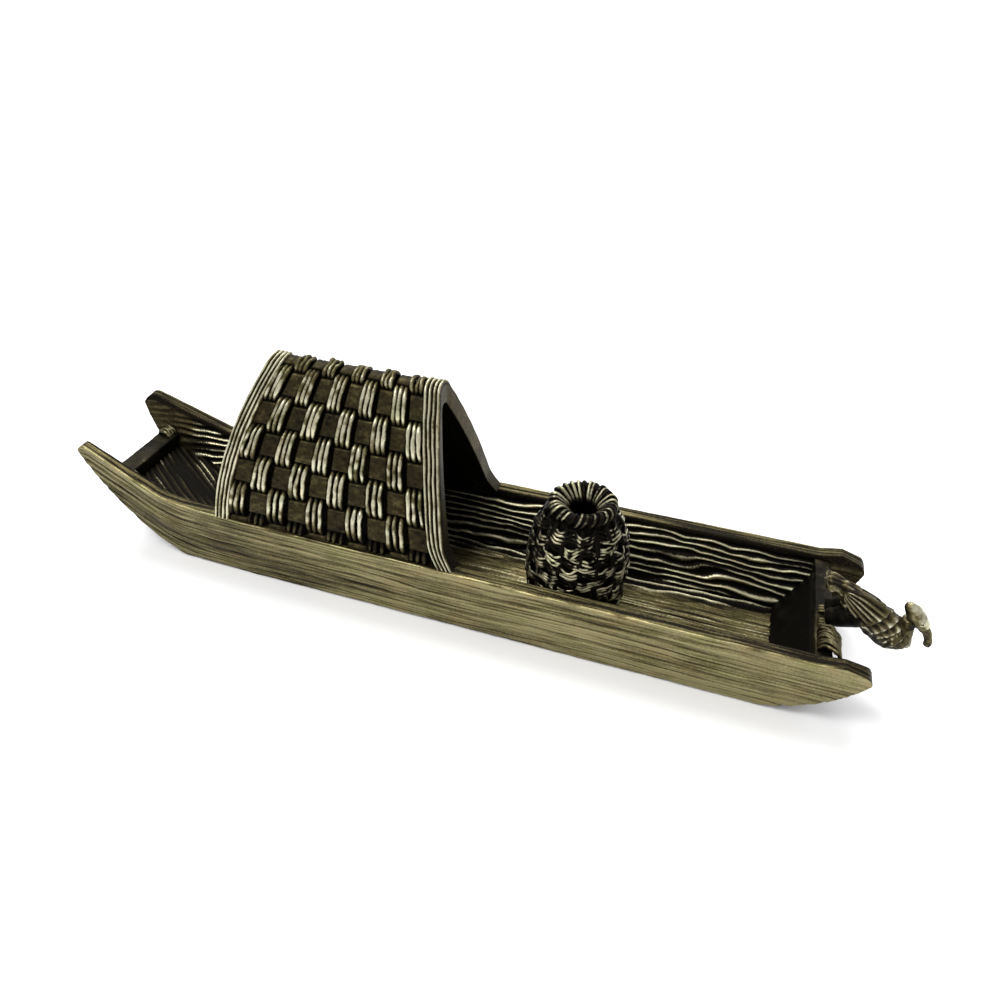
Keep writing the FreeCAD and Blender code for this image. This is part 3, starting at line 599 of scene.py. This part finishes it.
def bow_ramp():
    """The dark slope from the deck to the bow crossbeam."""
    low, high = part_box("bow_ramp")
    beam_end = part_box("bow_crossbeam")[0][0] / MM
    x = np.linspace(low[0] / MM, high[0] / MM, 50)
    top = np.interp(x, (44.2, 45.1, beam_end), (DECK - 0.9, DECK + 0.35, high[2] / MM))
    bottom = np.minimum(bottom_z(x) + 0.3, top - 0.4)

    def carve(px, py, pz, share):
        crest = 0.5 + 0.5 * rough(px, py, pz, 2.2, 81)
        return 0.12 * crest * share[..., 1], 0.05 * crest * share[..., 1], np.ones(px.shape)

    form = trough_piece("bow_ramp", x, bottom, top, (8, 60, 8, 40), carve)
    form.build(deck_patina, "deck_patina", "bow_ramp")


def crossbeam(node, slant, seed):
    """A beam across the boat with a softly rounded, unevenly worn top that carries a painted highlight."""
    low, high = [corner / MM for corner in map(np.array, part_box(node))]
    middle = (low[0] + high[0]) / 2
    reach = float(inner_y(middle, high[2])) + 0.1
    y = np.linspace(-reach, reach, 90)
    flat = np.ones(len(y))
    outline = [(low[0] + slant, low[2]), (low[0], high[2]), (high[0], high[2]), (high[0], low[2])]
    corners = np.stack([np.stack([a * flat, y, b * flat], axis=1) for a, b in outline], axis=1)
    loops, share = polygon_loops(corners, (14, 22, 14, 18), 4)
    px, py, pz = loops[..., 0], loops[..., 1], loops[..., 2]
    worn = rough(px, py, pz, 2.6, seed)
    height = 0.10 * worn + 0.05 * rough(px, py, pz, 0.7, seed + 5)
    # The top face (share 1) is painted lighter, a painted highlight where light falls on it.
    relief = 0.12 + 0.14 * share[..., 1] + 0.22 * worn
    form = Form(node + "_carved")
    form.add(loops + outward(loops) * height[..., None], relief, 0.75)
    form.build(deck_patina, "deck_patina", node)


def lashing(node, turns, radius, lean, seed):
    """Rope turns over a crossbeam, side by side, dark between the strands."""
    low, high = [corner / MM for corner in map(np.array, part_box(node))]
    form = Form(node + "_rope")
    middle_x, half_x = (low[0] + high[0]) / 2, (high[0] - low[0]) / 2
    for turn in range(turns):
        y = low[1] + (turn + 0.5) / turns * (high[1] - low[1])
        t = np.linspace(0.0, PI, TURN_POINTS)
        jitter = 0.12 * noise(t * 2, turn * 5.1, seed=seed)
        path = np.stack([middle_x - half_x * np.cos(t), y + lean * np.cos(t) + jitter,
                         low[2] - 0.5 + (high[2] - low[2] + 0.4) * np.sin(t) ** 0.7 + jitter], axis=1)
        size = radius * (1 + 0.15 * noise(t * 3, turn * 2.7, seed=seed + 1)) * rounded_ends(TURN_POINTS)
        add_strand(form, path, size, (0.0, 0.05, 1.0), 10, age=0.8, highlight_and_wear=0.66)
    form.build(rim_brass, "rim_brass", node)


side_plank("starboard_plank", -1, 11)
side_plank("port_plank", 1, 211)
deck_floor()
bottom_board()
stern_ramp()
bow_ramp()
crossbeam("stern_crossbeam", 1.6, 31)
crossbeam("bow_crossbeam", 0.0, 37)
lashing("stern_lashing", 4, 0.30, 0.3, 41)
lashing("bow_lashing", 8, 0.28, 0.75, 47)


# ---- canopy ----

def arch_line(foot_y, shoulder, ridge_radius):
    """An A-shaped arch from starboard foot to port foot: length along it, y, z and outward direction."""
    right = arc((foot_y, GUNWALE), shoulder, SIDE_RADIUS, 1, 60)
    ridge = arc(shoulder, (-shoulder[0], shoulder[1]), ridge_radius, 1, 40)
    half = np.concatenate([right, ridge[1:-1]])
    line = np.concatenate([half, right[::-1] * (-1.0, 1.0)])[::-1]
    step = np.linalg.norm(np.diff(line, axis=0), axis=1)
    length = np.concatenate([[0.0], np.cumsum(step)])
    direction = np.gradient(line, axis=0)
    direction /= np.linalg.norm(direction, axis=1, keepdims=True)
    return length, line[:, 0], line[:, 1], -direction[:, 1], direction[:, 0]


outer_arch = arch_line(CANOPY_FOOT_Y, SHOULDER, RIDGE_RADIUS)
inner_arch = arch_line(INNER_FOOT_Y, INNER_SHOULDER, INNER_RIDGE_RADIUS)
ARCH_LENGTH = outer_arch[0][-1]


def on_arch(arch, s):
    """y, z and the outward direction at a length along an arch."""
    return [np.interp(s, arch[0], values) for values in arch[1:]]


def edge_x(edge, z):
    """Lengthwise place of a canopy edge at a height: the stern edge sweeps forward as it rises."""
    share = np.clip((z - GUNWALE) / (CANOPY_TOP - GUNWALE), 0.0, 1.0)
    if edge is STERN_EDGE:
        share = share ** STERN_SWEEP
    return edge[0] + (edge[1] - edge[0]) * share


def canopy_point(w, s, inset, arch=outer_arch):
    """A point w of the way from rim to rim, s along the arch, and inset below the skin."""
    y, z, out_y, out_z = on_arch(arch, s)
    stern = edge_x(STERN_EDGE, z) + RIM_WIDE
    bow = edge_x(BOW_EDGE, z) - RIM_WIDE
    x = stern + (bow - stern) * w
    return np.stack(np.broadcast_arrays(x, y - out_y * inset, z - out_z * inset), axis=-1)


def over_under(s, column):
    """1 where a column's bundle lies over the mat's strips, -1 where it dips under them."""
    turn = PI * ((s - FIRST_ROW) / ROW_PITCH + column)
    return np.tanh(2.1 * np.cos(turn) + 0.12)


def near_ridge(s):
    """1 on the canopy's ridge, falling away down its sides."""
    return bell((s - ARCH_LENGTH / 2) / 2.4)


def foot_shade_and_dark_ridge(s):
    """Painted shade darkens the strands at the canopy's feet; they are also darker along its ridge."""
    foot = np.minimum(s, ARCH_LENGTH - s)
    return (0.35 + 0.65 * smooth_step((foot - 1.6) / 1.6)) * (1.0 - 0.5 * near_ridge(s))


def canopy_bundles():
    """Three-strand bundles that run up one side, over the lumpy ridge and down the other."""
    form = Form("canopy_bundles_woven")
    s = np.linspace(0.15, ARCH_LENGTH - 0.15, 170)
    out_y, out_z = on_arch(outer_arch, s)[2:]
    up = np.stack([np.zeros(len(s)), out_y, out_z], axis=1)
    for column in range(COLUMNS):
        lift = over_under(s, column)
        # Painted shade: a bundle is darkened where it dips under the strips.
        shade_where_under = smooth_step(lift * 0.75 + 0.35)[:, None]
        for strand in range(STRANDS):
            offset = (strand - 1) * STRAND_GAP
            tag = column * 3.7 + strand * 1.9
            wander = 0.025 * noise(s / 3.0, tag, seed=101) + 0.030 * noise(s / 1.1, tag, seed=102)
            w = (column + 0.42 + offset + wander) / COLUMNS
            depth = STRAND_DEPTH - 0.52 * lift + 0.09 * noise(s / 2.0, tag, seed=103)
            depth = depth + 0.30 * near_ridge(s) * noise(s / 0.9, tag, seed=108)
            lumps = 0.07 * noise(s / 1.9, tag, seed=104) + 0.04 * noise(s / 0.6, tag, seed=107)
            radius = (STRAND_RADIUS + lumps) * rounded_ends(len(s), 0.02)
            loops, angle = tube_loops(canopy_point(w, s, depth), radius, radius * 1.1, up)
            # Painted highlight on the outer side of each strand.
            painted_facing_highlight = (0.5 + 0.5 * np.sin(angle)) ** 1.9
            patchy = 0.86 + 0.36 * noise(s / 0.8, tag, seed=105)
            patchy = patchy + 0.14 * noise(s / 6.0, column * 1.7, seed=106)
            form.add(loops, painted_facing_highlight * shade_where_under * (patchy * foot_shade_and_dark_ridge(s))[:, None], 0.15)
    form.build(strand_brass, "canopy_brass", "canopy_bundles")


def canopy_mat():
    """The flat strips between the bundles: each shows where the bundle beside it dips under."""
    w = np.linspace(0.0, 1.0, 141)
    s = np.linspace(0.0, ARCH_LENGTH, 260)
    grid_w, grid_s = np.meshgrid(w, s)
    row = (grid_s - FIRST_ROW) / ROW_PITCH
    column = np.floor(grid_w * COLUMNS)
    across = grid_w * COLUMNS - column - 0.5
    within = row - np.floor(row + 0.5)
    strip = smooth_step((0.43 - np.abs(within)) / 0.09)
    shows = smooth_step(-over_under(grid_s, column) * 0.9 + 0.35)
    face = smooth_step((0.56 - np.abs(across)) / 0.12)
    level = strip * (0.25 + 0.75 * shows * face)
    fibres = noise(grid_w * 46, grid_s * 2.6, seed=111)
    inset = 1.55 - 1.10 * level + 0.04 * fibres + 0.05 * noise(grid_w * 12, grid_s, seed=112)
    front = canopy_point(grid_w, grid_s, inset)
    back = canopy_point(grid_w, grid_s, CANOPY_SKIN)
    loops = np.concatenate([front, back[:, ::-1]], axis=1)
    tone = 0.04 + (0.40 + 0.16 * fibres + 0.10 * noise(grid_w * 7, grid_s / 4, seed=113)) * level
    relief = np.concatenate([tone, np.zeros(level.shape)], axis=1)
    form = Form("canopy_mat_woven")
    form.add(loops, relief, 0.0)
    form.build(strip_patina, "canopy_brass", "canopy_mat")


def canopy_shell():
    """The canopy's rough inside, dark with patina and with painted shade."""
    w = np.linspace(0.0, 1.0, 70)
    share = np.linspace(0.0, 1.0, 150)
    grid_w, grid_share = np.meshgrid(w, share)
    outer = canopy_point(grid_w, grid_share * ARCH_LENGTH, 1.8)
    inner_s = grid_share * inner_arch[0][-1]
    bumps = rough(grid_w * 30, inner_s, 0.0, 2.4, 121)
    inner = canopy_point(grid_w, inner_s, 0.10 * bumps, inner_arch)
    loops = np.concatenate([outer, inner[:, ::-1]], axis=1)
    relief = np.concatenate([np.zeros(bumps.shape), 0.30 + 0.3 * bumps[:, ::-1]], axis=1)
    form = Form("canopy_shell_cast")
    # Full age paints the inside near black: patina and painted shade.
    form.add(loops, relief, 1.0)
    form.build(strip_patina, "canopy_brass", "canopy_shell")


def canopy_rim(node, edge, inward, flare, lobes, seed):
    """A rim of parallel strands over the arch's end; inward is 1 at the stern and -1 at the bow."""
    share = np.linspace(0.0, 1.0, 300)
    s = share * ARCH_LENGTH
    y, z, out_y, out_z = on_arch(outer_arch, s)
    inner_y_, inner_z = on_arch(inner_arch, share * inner_arch[0][-1])[:2]
    edge_place = edge_x(edge, z) + flare * np.clip((GUNWALE + 3.6 - z) / 3.6, 0.0, 1.0) ** 1.6
    u = np.linspace(0.0, 1.0, 60)[None, :]
    wander = 0.05 * noise(s / 5.0, seed=seed)[:, None] + 0.02 * noise(s / 1.6, seed=seed + 1)[:, None]
    crest = np.abs(np.sin(PI * lobes * np.clip(u + wander * np.sin(PI * u), 0.0, 1.0))) ** 0.7
    inset = 0.62 - 0.58 * crest + 0.06 * noise(s[:, None] / 1.8, u * lobes, seed=seed + 2)
    x = edge_place[:, None] + inward * (0.10 + (RIM_WIDE + 0.15) * u)
    top = np.stack([x, y[:, None] - out_y[:, None] * inset, z[:, None] - out_z[:, None] * inset], axis=-1)
    steps = np.linspace(0.0, 1.0, 18)[None, 1:-1, None]
    soffit_y, soffit_z = inner_y_[:, None], inner_z[:, None]
    soffit_u = np.linspace(1.0, 0.0, 16)[None, :]
    soffit_x = edge_place[:, None] + inward * (0.10 + (RIM_WIDE + 0.15) * soffit_u)
    soffit = np.stack(np.broadcast_arrays(soffit_x, soffit_y, soffit_z), axis=-1)
    hidden = top[:, -1:] + (soffit[:, :1] - top[:, -1:]) * steps
    face = soffit[:, -1:] + (top[:, :1] - soffit[:, -1:]) * steps
    loops = soften(np.concatenate([top, hidden, soffit, face], axis=1), 1)
    rows = len(s)
    end_tone = 0.36 + 0.16 * noise(s / 3.0, seed=seed + 3)[:, None] + np.zeros((rows, 16))
    patchy = 0.92 + 0.30 * noise(s[:, None] / 1.2, u * lobes * 1.4, seed=seed + 4)
    relief = np.concatenate([crest ** 1.5 * patchy,
                             np.zeros((rows, 16)), np.full((rows, 16), 0.15), end_tone], axis=1)
    age = np.concatenate([np.full((rows, 60), 0.05), np.ones((rows, 32)), np.full((rows, 16), 0.75)], axis=1)
    form = Form(node + "_bound")
    form.add(loops, relief, age)
    form.build(rim_brass, "rim_brass", node)


canopy_bundles()
canopy_mat()
canopy_shell()
canopy_rim("canopy_stern_rim", STERN_EDGE, 1, 0.0, 4, 131)
canopy_rim("canopy_bow_rim", BOW_EDGE, -1, 1.1, 4, 141)


# ---- basket ----

rim_low, rim_high = [np.array(corner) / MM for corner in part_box("basket_rim")]
BASKET = (rim_low + rim_high) / 2
RIM_TUBE = (rim_high[2] - rim_low[2]) / 2
RIM_RING = (rim_high[0] - rim_low[0]) / 2 - RIM_TUBE
PROFILE_Z = (2.6, 5.5, 9.5, 13.0, 17.0, 19.0, 19.8)
PROFILE_R = (6.6, 7.2, 7.5, 7.3, 6.3, 5.0, 4.4)
WELL_RADIUS = 3.0
WELL_FLOOR = 14.0
STICK_HOLE = 1.25
STICK_FLOOR = 5.5
BASKET_FOOT = 2.6
BASKET_TOP = 19.6
STAKES = 16
STAKE_RADIUS = 0.44
WEAVER_ROWS = 10
WEAVER_PITCH = 1.62
FIRST_WEAVER = 3.4
WEAVER_STRANDS = ((0.62, 0.21), (0.20, 0.24), (-0.22, 0.23), (-0.62, 0.20))
WRAPS = 29


def round_basket(reach, angle, level):
    """Points at a distance from the basket's axis, and the direction away from it."""
    x, y, z = np.broadcast_arrays(reach * np.cos(angle), reach * np.sin(angle), level)
    path = np.stack([BASKET[0] + x, BASKET[1] + y, z], axis=-1)
    away = np.stack(np.broadcast_arrays(np.cos(angle), np.sin(angle), np.zeros(x.shape)), axis=-1)
    return path, away


def basket_core(form):
    """The turned core, with a well and a hole for the stick."""
    wall_z = np.linspace(BASKET_FOOT, BASKET_TOP, 36)
    wall_r = np.interp(wall_z, PROFILE_Z, PROFILE_R) - 0.55
    well_z = np.linspace(BASKET_TOP, WELL_FLOOR, 12)
    radius = np.concatenate([[0.02], wall_r, np.full(12, WELL_RADIUS), [STICK_HOLE, STICK_HOLE, 0.02]])
    height = np.concatenate([[BASKET_FOOT], wall_z, well_z, [WELL_FLOOR, STICK_FLOOR, STICK_FLOOR]])
    turn = np.linspace(0.0, 2 * PI, 96, endpoint=False)[:, None]
    form.add(round_basket(radius, turn, height)[0], 0.0, 1.0, ring=True)


def weaver(form, angle, row, strand, lift, size):
    """One strand of a weaver, which goes in and out of the stakes and sags between them."""
    turn_x, turn_y = np.cos(angle), np.sin(angle)
    tag = row * 2.3 + strand * 0.9
    wander = 1.5 * noise(turn_x * 3, turn_y * 3, row * 1.3, 151)
    wave = np.cos(angle * STAKES / 2 + row * PI + wander)
    level = FIRST_WEAVER + row * WEAVER_PITCH + lift
    level = level + 0.36 * noise(turn_x * 6, turn_y * 6, tag, 152) - 0.22 * wave
    reach = np.interp(level, PROFILE_Z, PROFILE_R) - 0.30 + 0.24 * wave
    reach = reach + 0.20 * noise(turn_x * 7, turn_y * 7, tag, 153)
    path, away = round_basket(reach, angle, level)
    loops, around = tube_loops(path, size, size, away, ring=True)
    # Painted light: a highlight on the side facing out, painted shade where the weaver passes behind a
    # stake, and painted glints scattered at random.
    painted_facing_highlight = (0.5 + 0.5 * np.sin(around)) ** 2.1
    shade_behind_stakes = (0.38 + 0.62 * smooth_step(0.50 + 0.8 * wave))[:, None]
    painted_glint = (0.96 + 1.10 * noise(turn_x * 12, turn_y * 12, tag, 154))[:, None]
    form.add(loops, painted_facing_highlight * shade_behind_stakes * painted_glint, 0.0, ring=True)


def basket_body():
    """A creel: weavers in and out of upright stakes, round a turned core."""
    form = Form("basket_body_woven")
    basket_core(form)
    angle = np.linspace(0.0, 2 * PI, 192, endpoint=False)
    for row in range(WEAVER_ROWS):
        for strand, (lift, size) in enumerate(WEAVER_STRANDS):
            weaver(form, angle, row, strand, lift, size)
    level = np.linspace(2.9, 19.4, 44)
    for stake in range(STAKES):
        heading = (stake + 0.5) / STAKES * 2 * PI + 0.06 * noise(level / 4, stake * 3.1, seed=155)
        weave = np.cos((level - FIRST_WEAVER) / WEAVER_PITCH * PI + stake * PI)
        reach = np.interp(level, PROFILE_Z, PROFILE_R) - 0.46 - 0.22 * weave
        path, away = round_basket(reach, heading, level)
        add_strand(form, path, STAKE_RADIUS * rounded_ends(44, 0.05), away, highlight_and_wear=0.22)
    form.build(basket_patina, "basket_patina", "basket_body")


def basket_rim():
    """The coil-wrapped rim: uneven turns of cane round a core ring, reaching into the mouth."""
    form = Form("basket_rim_coiled")
    angle = np.linspace(0.0, 2 * PI, 120, endpoint=False)
    ring = round_basket(RIM_RING, angle, BASKET[2])[0]
    core = RIM_TUBE * 0.72
    loops = tube_loops(ring, core, core, (0.0, 0.0, 1.0), 16, ring=True)[0]
    form.add(loops, 0.0, 1.0, ring=True)
    t = np.linspace(0.0, 2 * PI, 28, endpoint=False)
    inside = smooth_step(-np.cos(t))
    for wrap in range(WRAPS):
        size = RIM_TUBE * (0.80 + 0.12 * lattice(wrap, 1, 0, 161))
        heading = (wrap + 0.30 * lattice(wrap, 2, 0, 161)) / WRAPS * 2 * PI + 0.10 * np.sin(t)
        reach = RIM_RING + size * np.cos(t) - 0.85 * inside
        path = round_basket(reach, heading, BASKET[2] + size * np.sin(t) - 0.9 * inside)[0]
        up = np.stack([np.cos(t) * np.cos(heading), np.cos(t) * np.sin(heading), np.sin(t)], axis=1)
        bright = 0.66 + 0.28 * lattice(wrap, 3, 0, 161)
        add_strand(form, path, 0.27 + 0.05 * lattice(wrap, 4, 0, 161), up, ring=True, highlight_and_wear=bright)
    form.build(basket_patina, "basket_patina", "basket_rim")


basket_body()
basket_rim()


# ---- cormorant ----

bird_low, bird_high = [np.array(corner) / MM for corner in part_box("cormorant_body")]
BIRD_Y = (bird_low[1] + bird_high[1]) / 2


def limb(form, spine, wide, high, carve, rows=60, sides=36, side=0.0, age=0.0):
    """An oval body along a spine of (x, z) points; carve gives height and relief from share and angle."""
    spine = np.array(spine, float)
    knots = np.linspace(0.0, 1.0, len(spine))
    t = np.linspace(0.0, 1.0, rows)
    line = np.stack([np.interp(t, knots, spine[:, 0]), np.full(rows, BIRD_Y + side),
                     np.interp(t, knots, spine[:, 1])], axis=1)
    for _ in range(rows // 6):
        line[1:-1] = 0.25 * line[:-2] + 0.5 * line[1:-1] + 0.25 * line[2:]
    wide = np.interp(t, np.linspace(0.0, 1.0, len(wide)), wide)
    high = np.interp(t, np.linspace(0.0, 1.0, len(high)), high)
    ends = rounded_ends(rows, 0.09)
    loops, angle = tube_loops(line, wide * ends, high * ends, (0.0, 0.0, 1.0), sides)
    share = t[:, None] + np.zeros(angle.shape)
    height, relief = carve(share, angle)
    form.add(loops + outward(loops) * (height * ends[:, None])[..., None], relief, age)


def scales(along, across):
    """Overlapping rounded feathers: 0 under a feather's edge, 1 at its lip."""
    row = np.floor(along)
    bow = 0.30 * np.cos(2 * PI * (across + 0.5 * (row % 2)))
    return np.clip((along - row) + bow, 0.0, 1.0) ** 1.4


def cormorant_body():
    """The body, scaled with small feathers that fade towards the belly."""
    form = Form("cormorant_body_carved")

    def carve(share, angle):
        lip = scales(share * 9.0, angle / (2 * PI) * 12.0)
        # The underside is painted darker than the back: painted shade under the body.
        upper = smooth_step(0.5 + 0.9 * np.sin(angle))
        dots = noise(share * 16, angle * 3.2, seed=171)
        height = 0.20 * lip * (0.35 + 0.65 * upper) + 0.10 * dots
        flecks = np.clip(noise(share * 22, angle * 4.4, seed=173) - 0.35, 0.0, 1.0) * 2.2
        return height, (0.16 + 0.20 * lip) * (0.45 + 0.55 * upper) + 0.12 * dots + flecks * (1 - upper * 0.6)

    limb(form, [(51.2, 15.4), (53.6, 14.0), (56.4, 12.2), (58.8, 10.5), (60.9, 9.2)],
         (1.1, 1.9, 2.2, 2.1, 1.2), (1.1, 1.9, 2.3, 2.4, 1.3), carve, 110, 72, age=0.15)
    form.build(bird_brass, "bird_brass", "cormorant_body")


def cormorant_wing(node, side, drop=0.0):
    """A folded wing, bright on its outer side and in painted shade on the side against the body: long
    feathers behind, overlapping coverts in front.
    """
    form = Form(node + "_feathered")

    def carve(share, angle):
        across = np.sin(angle)
        long_feathers = ridges(across * 2.6 + 0.25 * np.sin(share * 4), 1.3)
        coverts = scales(share * 7.0, across * 1.9)
        front = smooth_step((share - 0.46) / 0.16)
        crest = long_feathers * (1 - front) + coverts * front
        # Painted shade on the side against the body.
        outer = smooth_step(0.5 - 1.4 * side * np.cos(angle))
        patchy = 0.8 + 0.3 * noise(share * 9, angle * 3, seed=177)
        return 0.32 * crest - 0.05, 0.05 + (0.15 + 0.70 * outer) * crest * patchy

    spine = np.array([(51.3, 16.6), (53.0, 15.6), (55.2, 14.0), (57.4, 12.3), (58.8, 11.0)]) - (0.0, drop)
    limb(form, spine, (0.30, 0.70, 0.90, 0.84, 0.35), (0.55, 1.45, 1.95, 1.85, 0.8),
         carve, 90, 64, side * 1.55, 0.1)
    form.build(bird_brass, "bird_brass", node)


def cormorant_tail():
    """The fan of the tail with its quills."""
    form = Form("cormorant_tail_feathered")

    def carve(share, angle):
        quill = ridges(np.cos(angle) * 2.0, 1.4)
        lumps = noise(share * 6, angle * 2, seed=175)
        return 0.20 * quill + 0.18 * lumps, 0.12 + 0.42 * quill + 0.30 * lumps

    limb(form, [(48.9, 17.2), (50.2, 16.9), (51.6, 16.2), (53.2, 15.0)],
         (1.75, 1.5, 1.3, 1.4), (0.62, 0.72, 0.95, 1.2), carve, 50, 48, 0.0, 0.1)
    form.build(bird_brass, "bird_brass", "cormorant_tail")


def plain(share, angle):
    """Soft cast unevenness, with a painted highlight on top."""
    bumps = noise(share * 7, angle * 2.0, seed=181)
    return 0.05 * bumps, 0.30 + 0.24 * np.sin(angle) + 0.14 * bumps


def shaded(share, angle):
    """The dark underside where the legs meet the body."""
    bumps = noise(share * 6, angle * 2.0, seed=185)
    return 0.12 * bumps, 0.10 + 0.14 * bumps


def polished_top_highlight(share, angle):
    """A surface worn bright all over, with a painted highlight on top."""
    bumps = noise(share * 5, angle * 1.5, seed=183)
    return 0.08 * bumps, 0.46 + 0.34 * np.sin(angle) + 0.24 * bumps


def cormorant_neck():
    """The short neck that rises from the breast."""
    form = Form("cormorant_neck_cast")
    limb(form, [(60.7, 8.9), (60.5, 10.6), (60.1, 12.3), (60.2, 13.9)],
         (0.95, 1.05, 1.05, 1.0), (0.95, 0.85, 0.95, 1.0), plain, 40, 28, 0.0, 0.4)
    form.build(bird_brass, "bird_brass", "cormorant_neck")


def cormorant_head():
    """The head with its swept crest and eyes."""
    form = Form("cormorant_head_cast")
    limb(form, [(59.1, 16.1), (60.1, 15.1), (61.1, 13.9), (62.3, 12.7)],
         (0.55, 1.0, 1.15, 0.75), (0.55, 1.0, 1.1, 0.75), polished_top_highlight, 48, 32, 0.0, 0.0)
    for side in (-1, 1):
        t = np.linspace(0.0, 2 * PI, 20, endpoint=False)
        eye = np.stack([61.4 + 0.28 * np.cos(t), np.full(20, BIRD_Y + side * 1.04),
                        14.0 + 0.28 * np.sin(t)], axis=1)
        add_strand(form, eye, 0.10, (0.0, float(side), 0.0), 8, ring=True, highlight_and_wear=0.9)
    form.build(bird_brass, "bird_brass", "cormorant_head")


def cormorant_bill():
    """The bill, hooked at its tip."""
    form = Form("cormorant_bill_cast")
    limb(form, [(61.7, 12.9), (62.6, 12.2), (63.1, 11.2), (63.4, 10.3), (63.2, 9.7)],
         (0.70, 0.60, 0.50, 0.50, 0.45), (0.70, 0.60, 0.50, 0.52, 0.45), plain, 40, 24, 0.0, 0.2)
    form.build(bird_brass, "bird_brass", "cormorant_bill")


def cormorant_feet():
    """Two legs with webbed feet on the crossbeam."""
    form = Form("cormorant_feet_cast")
    for side in (-1.3, 1.3):
        limb(form, [(50.0, 11.6), (51.4, 12.0), (52.8, 12.6), (54.4, 13.2)],
             (1.0, 1.2, 1.3, 1.3), (1.1, 1.5, 1.6, 1.4), shaded, 36, 20, side * 0.8, 1.0)
        for toe in (-0.5, 0.0, 0.5):
            limb(form, [(51.0, 11.0), (50.2, 10.9), (49.4, 10.75)],
                 (0.30, 0.26, 0.20), (0.26, 0.22, 0.16), plain, 20, 12, side + toe, 0.8)
    form.build(bird_brass, "bird_brass", "cormorant_feet")


cormorant_body()
cormorant_wing("cormorant_port_wing", 1, 1.3)
cormorant_wing("cormorant_starboard_wing", -1, -0.3)
cormorant_tail()
cormorant_neck()
cormorant_head()
cormorant_bill()
cormorant_feet()


# ---- stage, light and camera ----

CAMERA_ANGLES = (16.8, 37.49, 1.69)
CAMERA_DISTANCE = 0.11454
CAMERA_TARGET = (0.0034, 0.0, 0.01691)
CAMERA_LENS = 28.24
FLOOR_REACH = 60.0
FLOOR_TONE = 0.93


def floor():
    """A plain pale floor."""
    mesh = bpy.data.meshes.new("floor")
    turns = ((-1, -1), (1, -1), (1, 1), (-1, 1))
    corners = [(FLOOR_REACH * x, FLOOR_REACH * y, 0.0) for x, y in turns]
    mesh.from_pydata(corners, [], [(0, 1, 2, 3)])
    paper = bpy.data.materials.new("floor_paper")
    paper.use_nodes = True
    shader = paper.node_tree.nodes["Principled BSDF"]
    shader.inputs["Base Color"].default_value = (FLOOR_TONE, FLOOR_TONE, FLOOR_TONE, 1.0)
    shader.inputs["Roughness"].default_value = 0.9
    shader.inputs["Specular IOR Level"].default_value = 0.1
    mesh.materials.append(paper)
    plane = bpy.data.objects.new("floor", mesh)
    bpy.context.scene.collection.objects.link(plane)


def softbox(name, place, size, power):
    """A square area light aimed at the middle of the boat."""
    light = bpy.data.lights.new(name, "AREA")
    light.size = size
    light.energy = power
    lamp = bpy.data.objects.new(name, light)
    lamp.location = place
    lamp.rotation_euler = (Vector((0.0, 0.0, 0.015)) - Vector(place)).to_track_quat("-Z", "Y").to_euler()
    bpy.context.scene.collection.objects.link(lamp)


def daylight():
    """Broad soft light from above the far side of the boat."""
    light = bpy.data.lights.new("daylight", "SUN")
    light.energy = 1.9
    light.angle = math.radians(38)
    lamp = bpy.data.objects.new("daylight", light)
    lamp.rotation_euler = Vector((-0.28, 0.50, 1.0)).to_track_quat("Z", "Y").to_euler()
    bpy.context.scene.collection.objects.link(lamp)


def camera_view():
    """Close to the boat, looking down on its starboard side."""
    azimuth, elevation, roll = [math.radians(angle) for angle in CAMERA_ANGLES]
    back = Vector((math.sin(azimuth) * math.cos(elevation),
                   -math.cos(azimuth) * math.cos(elevation),
                   math.sin(elevation)))
    right = (-back).cross(Vector((0, 0, 1))).normalized()
    up = right.cross(-back)
    x_axis = right * math.cos(roll) + up * math.sin(roll)
    y_axis = up * math.cos(roll) - right * math.sin(roll)
    data = bpy.data.cameras.new("camera")
    data.lens = CAMERA_LENS
    data.sensor_width = 36.0
    data.clip_start = 0.005
    data.clip_end = 10.0
    camera = bpy.data.objects.new("camera", data)
    turn = Matrix((x_axis, y_axis, back)).transposed().to_4x4()
    camera.matrix_world = Matrix.Translation(Vector(CAMERA_TARGET) + back * CAMERA_DISTANCE) @ turn
    bpy.context.scene.collection.objects.link(camera)
    bpy.context.scene.camera = camera


def studio_air():
    """Even white light from all round."""
    world = bpy.data.worlds.new("studio")
    world.use_nodes = True
    background = world.node_tree.nodes["Background"]
    background.inputs["Color"].default_value = (1.0, 1.0, 1.0, 1.0)
    background.inputs["Strength"].default_value = 0.74
    bpy.context.scene.world = world


floor()
studio_air()
softbox("key", (-0.20, -0.20, 0.50), 0.22, 1.6)
softbox("rim", (0.20, 0.45, 0.40), 0.30, 0.9)
daylight()
bpy.context.scene.view_settings.view_transform = "Standard"
camera_view()
